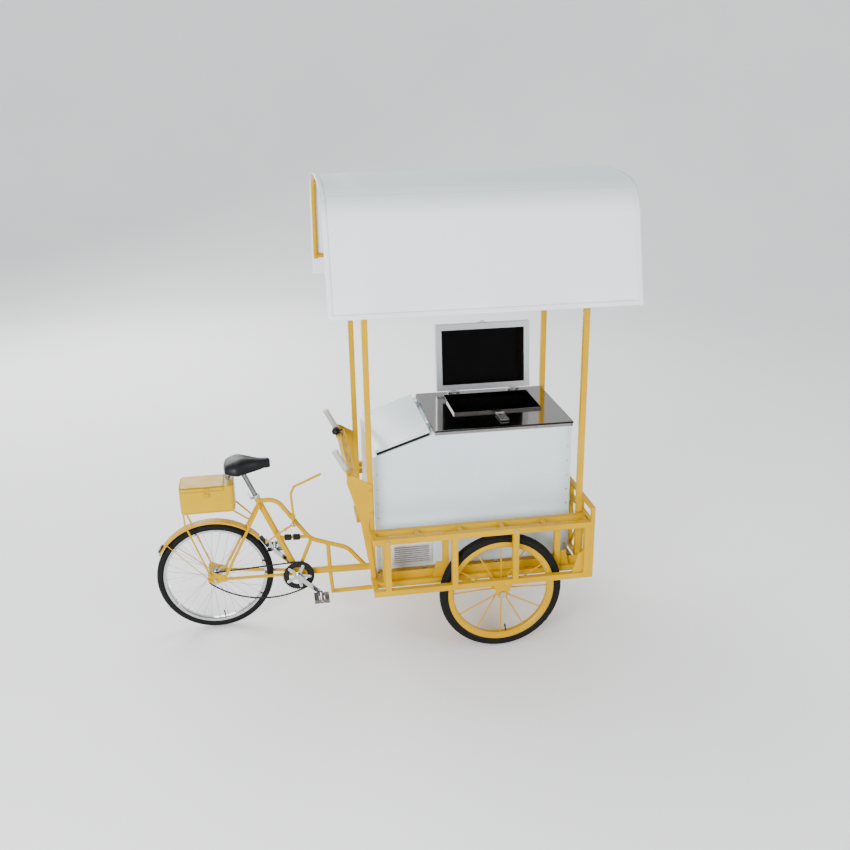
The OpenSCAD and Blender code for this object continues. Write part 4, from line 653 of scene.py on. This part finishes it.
SADDLE_AT = Vector((-0.8650, 0, 0.9868))
SADDLE_L, SADDLE_HALF, SADDLE_NOSE = 0.256, 0.108, 0.027
CLAMP_AT = Vector((-0.77246, 0, 0.97283))
SPRING_TURNS = 5.5
SPRING_WIRE, RAIL_WIRE = 0.0019, 0.0038


def saddle_half(t):
    """Half the saddle's width, t from its rear (0) to its nose (1)."""
    if t < 0.3:
        rear = SADDLE_HALF * (0.70 + 0.30 * math.sin(math.pi / 2 * t / 0.3))
        return rear * (1 - max(0, (0.05 - t) / 0.05) ** 2 * 0.55)
    w = SADDLE_NOSE + (SADDLE_HALF - SADDLE_NOSE) * (1 - (t - 0.3) / 0.7) ** 2.1
    return w * math.sqrt(max(0.02, 1 - max(0, (t - 0.93) / 0.07) ** 2))


def saddle_top(t):
    if t < 0.35:
        return 0.018 + 0.044 * (0.40 + 0.60 * math.sin(math.pi / 2 * t / 0.35))
    return 0.018 + 0.044 * (0.58 + 0.42 * (0.5 + 0.5 * math.cos(math.pi * min(1, (t - 0.35) / 0.5))))


def saddle_ring(t, around):
    """The section at t: a crowned top with a shallow groove, over a deep skirt that turns in; its depth is
    partly the saddle's own side and partly a dark stand-in for the shade under it.
    """
    w = saddle_half(t)
    top = saddle_top(t) - 0.016 * max(0, (0.06 - t) / 0.06) ** 2 - 0.012 * max(0, (t - 0.94) / 0.06) ** 2
    # The skirt hangs deep: its black stands for the shade under the saddle as well as the saddle's own side.
    edge = -0.016 * max(0.0, math.sin(math.pi * min(1.0, t / 0.86))) ** 0.8 + 0.002 * math.cos(math.pi * t)
    groove_run = max(0, math.sin(math.pi * min(1, max(0, (t - 0.08) / 0.62))))
    ring = []
    for k in range(around):
        a = 2 * math.pi * k / around
        c, s = math.cos(a), math.sin(a)
        y = w * math.copysign(abs(c) ** 0.62, c)
        if s >= 0:
            groove = 0.006 * math.exp(-(y / 0.012) ** 2) * groove_run * abs(s)
            z = edge + (top - edge) * abs(s) ** 0.78 - groove
        else:
            z = edge - 0.006 * abs(s) ** 0.5
            y *= 1 - 0.10 * abs(s)
        ring.append(SADDLE_AT + Vector((SADDLE_L * t, y, z)))
    return ring


def saddle_cover():
    bm = bmesh.new()
    sections, around = 46, 40
    rows = []
    for i in range(sections + 1):
        t = 0.5 - 0.5 * math.cos(math.pi * i / sections)
        rows.append([bm.verts.new(p) for p in saddle_ring(t, around)])
    for a, b in zip(rows, rows[1:]):
        for k in range(around):
            j = (k + 1) % around
            bm.faces.new((a[k], b[k], b[j], a[j]))
    for ring, flip in ((rows[0], True), (rows[-1], False)):
        c = bm.verts.new(sum((v.co for v in ring), Vector()) / around)
        for k in range(around):
            a, b = ring[k], ring[(k + 1) % around]
            bm.faces.new((a, b, c) if flip else (b, a, c))
    o = piece("saddle_cover", bm, LEATHER, "seat")
    modify(o, "SUBSURF", levels=1, render_levels=1)
    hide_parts("saddle")
    return o


def saddle_piping():
    bm = bmesh.new()
    for side in (-1, 1):
        loop = []
        for i in range(61):
            t = 0.03 + 0.95 * i / 60
            at = (SADDLE_L * t, side * (saddle_half(t) + 0.0008), 0.006 - 0.012 * math.sin(math.pi * t))
            loop.append(SADDLE_AT + Vector(at))
        tube(bm, loop, 0.0016, 8)
    piece("saddle_piping", bm, RUBBER, "seat")


def spring(bm, side):
    """A coil that is a little narrower at both ends."""
    base = CLAMP_AT + Vector((-0.072, side * 0.062, -0.030))
    coil = []
    count = 150
    for i in range(count + 1):
        u = i / count
        a = 2 * math.pi * SPRING_TURNS * u * side
        r = 0.0135 * (1 - 0.10 * math.cos(2 * math.pi * u))
        coil.append(base + Vector((r * math.cos(a), r * math.sin(a), 0.002 + 0.042 * u)))
    tube(bm, coil, SPRING_WIRE, 8)


def saddle_rail(bm, side):
    """The wire from under the spring, over the clamp, to the saddle's nose."""
    bends = (
        (-0.072, 0.062, -0.029), (-0.070, 0.050, -0.028), (-0.062, 0.036, -0.012),
        (-0.050, 0.031, -0.002), (-0.02, 0.031, 0), (0.03, 0.031, 0),
        (0.056, 0.029, 0.002), (0.09, 0.022, 0.010), (0.142, 0.012, 0.021))
    rail = [CLAMP_AT + Vector((x, side * y, z)) for x, y, z in bends]
    tube(bm, curve_through(rail, 6), RAIL_WIRE, 10)


def spring_plate(bm):
    """The cross plate over the two springs."""
    half = ((-0.080, 0.076), (-0.058, 0.070))
    outline_xy = [(-0.092, -0.070)] + [(x, -y) for x, y in half] + [(-0.054, 0.0)]
    outline_xy += [(x, y) for x, y in half[::-1]] + [(-0.092, 0.070)]
    faces_z = (0.0145, 0.0180)
    low, high = ([bm.verts.new(CLAMP_AT + Vector((x, y, z))) for x, y in outline_xy] for z in faces_z)
    join_rings(bm, low, high)
    bm.faces.new(low[::-1])
    bm.faces.new(high)


def saddle_springs():
    bm = bmesh.new()
    for side in (-1, 1):
        spring(bm, side)
        saddle_rail(bm, side)
    spring_plate(bm)
    # The springs and rails wear the dark chrome, so they stand in for the painted shade under the saddle.
    o = piece("saddle_springs", bm, POST, "seat", split=40)
    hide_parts("saddle_frame")


cushion = saddle_cover()
saddle_piping()
saddle_springs()

# ---------------------------------------------------------------- tyres

# The tread's three rows of blocks: their edges as angles round the tyre's section, and the row's shift
TREAD_ROWS = ((-0.88, -0.34, 0.0), (-0.26, 0.26, 0.5), (0.34, 0.88, 0.0))
TREAD_FILL = 0.68
BLOCK_LOW, BLOCK_HIGH = -0.0013, -0.00005
VALVE_TURN = -math.pi / 2 + 0.12


def tyre_profile(r, w, bed):
    """The tyre's outside, a little lower under the blocks, with a shoulder groove and two wall lines."""
    count = 64
    middle = r - w / 2
    reach = math.acos(max(-1, min(1, (bed - middle) / (w / 2))))
    profile = []
    for i in range(count + 1):
        a = -reach + 2 * reach * i / count
        rr = w / 2
        u = abs(a)
        if u < 0.95:
            rr -= 0.0011
        if abs(u - 1.02) < 0.05:
            rr -= 0.0014
        if abs(u - 1.9) < 0.04 or abs(u - 2.05) < 0.04:
            rr -= 0.0007
        profile.append((middle + rr * math.cos(a), rr * math.sin(a)))
    return profile


def tread_block(bm, centre, r, w, t0, t1, b0, b1):
    """A skewed block from angle t0 to t1 round the axle, and from b0 to b1 round the tyre's section."""
    skew = 0.25 * (t1 - t0)
    vs = []
    for lift in (BLOCK_LOW, BLOCK_HIGH):
        for t, b in ((t0 - skew, b0), (t1 - skew, b0), (t1 + skew, b1), (t0 + skew, b1)):
            rr = w / 2 + lift
            vs.append(bm.verts.new(spin(centre, r - w / 2 + rr * math.cos(b), rr * math.sin(b), t)))
    for f in ((4, 5, 6, 7), (0, 1, 5, 4), (1, 2, 6, 5), (2, 3, 7, 6), (3, 0, 4, 7)):
        bm.faces.new([vs[i] for i in f])


def valve(name, centre, bed, w, body):
    """The valve stem with its cap, through the rim near the ground."""
    bm = bmesh.new()
    d = Vector((math.cos(VALVE_TURN), 0, math.sin(VALVE_TURN)))
    inner = bed - (0.068 if w > 0.05 else 0.048)
    at = Vector(centre)
    rod(bm, at + d * inner, at + d * (bed + 0.002), 0.0034)
    rod(bm, at + d * (inner - 0.006), at + d * (inner + 0.007), 0.0044)
    piece(name, bm, PLASTIC, body, split=40)


def tyre(name, node, centre, r, w, bed, body, blocks, material):
    """A tyre with a rounded crown, shoulder grooves, wall lines, raised tread blocks and a valve."""
    bm = bmesh.new()
    lathe(bm, tyre_profile(r, w, bed), centre, 200)
    for k in range(blocks):
        for b0, b1, shift in TREAD_ROWS:
            t0 = 2 * math.pi * (k + shift) / blocks
            t1 = t0 + 2 * math.pi / blocks * TREAD_FILL
            tread_block(bm, centre, r, w, t0, t1, b0, b1)
    o = piece(name, bm, material, body, split=34)
    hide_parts(node)
    valve(name + "_valve", centre, bed, w, body)


tyre("rear_tread", "rear_tyre", REAR_AXLE, **REAR_TYRE, body="rear_wheel", blocks=118, material=REAR_TREAD)
for side, axle, material in (("right", FRONT_AXLE_RIGHT, RIGHT_TREAD), ("left", FRONT_AXLE_LEFT, LEFT_TREAD)):
    tyre("front_tread_" + side, "front_tyre_" + side, axle, **FRONT_TYRE,
         body="front_wheel_" + side, blocks=104, material=material)

# ---------------------------------------------------------------- chain

PITCH = 0.0127
RING_TEETH, SPROCKET_TEETH = 44, 20
CRANK_AT = Vector((-0.495, 0.303))
SPROCKET_AT = Vector((REAR_AXLE[0], REAR_AXLE[2]))
CHAIN_Y = -0.050
SAG_R = 0.500
LINK_END_R, LINK_WAIST = 0.0042, 0.0027
PLATE_T = 0.0010
INNER_PLATE_Y, OUTER_PLATE_Y = 0.0019, 0.0031


def arc(centre, r, a, b, count):
    turns = [a + (b - a) * i / count for i in range(count)]
    return [(centre[0] + r * math.cos(t), centre[1] + r * math.sin(t)) for t in turns]


def chain_loop():
    """The chain's run as points: the slack lower side, round the chainring and back round the sprocket."""
    ring_r = PITCH / 2 / math.sin(math.pi / RING_TEETH)
    sprocket_r = PITCH / 2 / math.sin(math.pi / SPROCKET_TEETH)
    gap = (CRANK_AT - SPROCKET_AT).length
    tilt = math.atan2(CRANK_AT.y - SPROCKET_AT.y, CRANK_AT.x - SPROCKET_AT.x)
    upper = math.pi / 2 + math.asin((ring_r - sprocket_r) / gap)
    s1, s2 = SAG_R - sprocket_r, SAG_R - ring_r
    along = (s1 * s1 - s2 * s2 + gap * gap) / (2 * gap)
    sag_at = (along, math.sqrt(s1 * s1 - along * along))
    leave_sprocket = math.atan2(-sag_at[1], -sag_at[0])
    meet_ring = math.atan2(-sag_at[1], gap - sag_at[0])
    line = arc(sag_at, SAG_R, leave_sprocket, meet_ring, 60)
    line += arc((gap, 0), ring_r, meet_ring, upper, 60)
    line += arc((0, 0), sprocket_r, upper, 2 * math.pi + leave_sprocket, 40)
    ct, st = math.cos(tilt), math.sin(tilt)
    return [Vector((SPROCKET_AT.x + x * ct - y * st, 0, SPROCKET_AT.y + x * st + y * ct)) for x, y in line]


def point_along(line, lengths, d):
    d %= sum(lengths)
    for i, length in enumerate(lengths):
        if d <= length:
            return line[i].lerp(line[(i + 1) % len(line)], d / length)
        d -= length
    return line[0]


def link_plate(bm, p, q, y0, y1):
    """A flat link with round ends and a narrow waist between the pins at p and q."""
    d = (q - p).normalized()
    up = Vector((-d.z, 0, d.x))
    middle = p.lerp(q, 0.5)
    rim = []
    for c, end in ((p, -1), (q, 1)):
        for k in range(-3, 4):
            a = math.radians(k * 25)
            rim.append(c + d * (end * LINK_END_R * math.cos(a)) + up * (LINK_END_R * math.sin(a)) * end)
    rim += [middle - up * LINK_WAIST, middle + up * LINK_WAIST]
    rim.sort(key=lambda v: math.atan2((v - middle).dot(up), (v - middle).dot(d)))
    a, b = ([bm.verts.new((v.x, y, v.z)) for v in rim] for y in (y0, y1))
    join_rings(bm, a, b)
    bm.faces.new(a)
    bm.faces.new(b[::-1])


def chain_links():
    line = chain_loop()
    lengths = [(line[(i + 1) % len(line)] - line[i]).length for i in range(len(line))]
    links = 2 * round(sum(lengths) / PITCH / 2)
    step = sum(lengths) / links
    bm = bmesh.new()
    for i in range(links):
        p, q = (point_along(line, lengths, k * step) for k in (i, i + 1))
        out = INNER_PLATE_Y if i % 2 == 0 else OUTER_PLATE_Y
        for side in (-1, 1):
            y0 = CHAIN_Y + side * out
            link_plate(bm, p, q, y0, y0 + side * PLATE_T)
        rod(bm, (p.x, CHAIN_Y - 0.0044, p.z), (p.x, CHAIN_Y + 0.0044, p.z), 0.0016, 8)
        rod(bm, (p.x, CHAIN_Y - 0.0018, p.z), (p.x, CHAIN_Y + 0.0018, p.z), 0.0038, 12)
    o = piece("chain_links", bm, DARK, "rear_bike", split=35)
    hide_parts("chain")


chain_links()

# ---------------------------------------------------------------- spoke nipples

SPOKES = 36
RIM_IN = 0.275


def spoke_nipples():
    bm = bmesh.new()
    for i in range(SPOKES):
        a = 2 * math.pi * i / SPOKES
        side = -1 if i % 2 == 0 else 1
        d = Vector((math.cos(a), 0, math.sin(a)))
        c = Vector((REAR_AXLE[0], side * 0.004, REAR_AXLE[2]))
        rod(bm, c + d * (RIM_IN - 0.012), c + d * (RIM_IN + 0.001), 0.0023, 8)
    piece("spoke_nipples", bm, CHROME, "rear_wheel", split=40)


spoke_nipples()

# ---------------------------------------------------------------- cabinet trim

HALF_CAB = 0.330
BEAD_R, BEAD_Z = 0.0052, 1.2352
BEAD_REAR_X, BEAD_FRONT_X = 0.274, 1.0385
RIVETS, RIVET_PITCH, RIVET_LOW_Z = 9, 0.085, 0.50
SLOPE_FOOT_Z = 1.08


def worktop_bead():
    """A black bead along the worktop's sides and front."""
    bm = bmesh.new()
    for y in (-HALF_CAB - 0.0042, HALF_CAB + 0.0042):
        rod(bm, (BEAD_REAR_X, y, BEAD_Z), (BEAD_FRONT_X, y, BEAD_Z), BEAD_R, 10)
    x = BEAD_FRONT_X + 0.0007
    rod(bm, (x, -HALF_CAB - 0.004, BEAD_Z), (x, HALF_CAB + 0.004, BEAD_Z), BEAD_R, 10)
    piece("worktop_bead", bm, PLASTIC, "platform")


def panel_rivets():
    """Domed rivets in a line at each end of the cabinet's sides, short of the slope at the rear."""
    bm = bmesh.new()
    for x, top in ((-0.046, SLOPE_FOOT_Z), (1.016, math.inf)):
        for k in range(RIVETS):
            z = RIVET_LOW_Z + k * RIVET_PITCH
            if z > top:
                continue
            for side in (-1, 1):
                y = side * HALF_CAB
                for r, h in ((0.0046, 0.0010), (0.0034, 0.0018)):
                    rod(bm, (x, y, z), (x, y + side * h, z), r, 14)
    piece("panel_rivets", bm, ZINC, "platform", split=40)


worktop_bead()
panel_rivets()

# ---------------------------------------------------------------- stage, light and camera

FLOOR_SIDES = 96
FLOOR_FLAT_R, BOWL_R = 9.0, 6.0
LENS_MM, SENSOR_MM = 42.009882, 36
SHIFT = (-0.0107059, 0.0232941)
CAMERA_AT = (-0.5726, -5.2469, 3.0457)
CAMERA_TURN, CAMERA_DOWN, CAMERA_ROLL = math.radians(9.7), math.radians(20.7), math.radians(-0.749)


def floor_material():
    m, nt, bsdf = new_material("studio_floor")
    patch = spread(nt, noise(nt, coords(nt), 0.7, 3), 0, 1)
    nt.links.new(blend_colour(nt, patch, (0.90, 0.90, 0.90), (0.87, 0.87, 0.875)), bsdf.inputs["Base Color"])
    bsdf.inputs["Roughness"].default_value = 0.75
    bsdf.inputs["Specular IOR Level"].default_value = 0.2
    return m


def floor():
    """A flat round floor whose rim curves up into a bowl, so that no horizon shows."""
    bm = bmesh.new()
    bends = [math.radians(a) for a in range(6, 85, 6)]
    profile = [(6.0, 0.0), (FLOOR_FLAT_R, 0.0)]
    profile += [(FLOOR_FLAT_R + BOWL_R * math.sin(a), BOWL_R - BOWL_R * math.cos(a)) for a in bends]
    turns = [2 * math.pi * k / FLOOR_SIDES for k in range(FLOOR_SIDES)]
    middle = bm.verts.new((0, 0, -0.0005))
    rings = []
    for r, z in profile:
        rings.append([bm.verts.new((r * math.cos(t), r * math.sin(t), z - 0.0005)) for t in turns])
    for k in range(FLOOR_SIDES):
        bm.faces.new((middle, rings[0][k], rings[0][(k + 1) % FLOOR_SIDES]))
    for a, b in zip(rings, rings[1:]):
        for k in range(FLOOR_SIDES):
            j = (k + 1) % FLOOR_SIDES
            bm.faces.new((a[k], b[k], b[j], a[j]))
    add_object("floor", bm, floor_material())


def sky():
    world = bpy.data.worlds.new("studio")
    bpy.context.scene.world = world
    world.use_nodes = True
    background = world.node_tree.nodes["Background"]
    background.inputs[0].default_value = (0.95, 0.98, 1.0, 1)
    background.inputs[1].default_value = 1.0


def lamp(name, at, target, size, power):
    data = bpy.data.lights.new(name, "AREA")
    data.shape = "RECTANGLE"
    data.size, data.size_y = size
    data.energy = power
    o = bpy.data.objects.new(name, data)
    o.location = at
    o.rotation_euler = (Vector(target) - Vector(at)).to_track_quat("-Z", "Y").to_euler()
    bpy.context.scene.collection.objects.link(o)


def camera():
    """The camera that was solved for the photo's view."""
    data = bpy.data.cameras.new("camera")
    data.lens = LENS_MM
    data.sensor_width = SENSOR_MM
    data.shift_x, data.shift_y = SHIFT
    o = bpy.data.objects.new("camera", data)
    bpy.context.scene.collection.objects.link(o)
    level = math.cos(CAMERA_DOWN)
    ahead = Vector((math.sin(CAMERA_TURN) * level, math.cos(CAMERA_TURN) * level, -math.sin(CAMERA_DOWN)))
    right = ahead.cross(Vector((0, 0, 1))).normalized()
    up = right.cross(ahead)
    c, s = math.cos(CAMERA_ROLL), math.sin(CAMERA_ROLL)
    right, up = right * c + up * s, up * c - right * s
    rows = [(right[k], up[k], -ahead[k], CAMERA_AT[k]) for k in range(3)]
    o.matrix_world = Matrix((*rows, (0, 0, 0, 1)))
    bpy.context.scene.camera = o


floor()
sky()
lamp("key", (-3.6, -5.6, 2.6), (0.1, 0, 1.2), (3.0, 2.4), 520)
lamp("fill", (4.6, -4.6, 2.2), (0.3, 0, 1.0), (3.0, 2.4), 150)
lamp("top", (0.3, 2.6, 7.0), (0.2, 0.4, 0.4), (5.0, 4.0), 170)
lamp("rear", (-3.0, 6.5, 4.5), (0, 3, 0), (6.0, 4.0), 520)
camera()
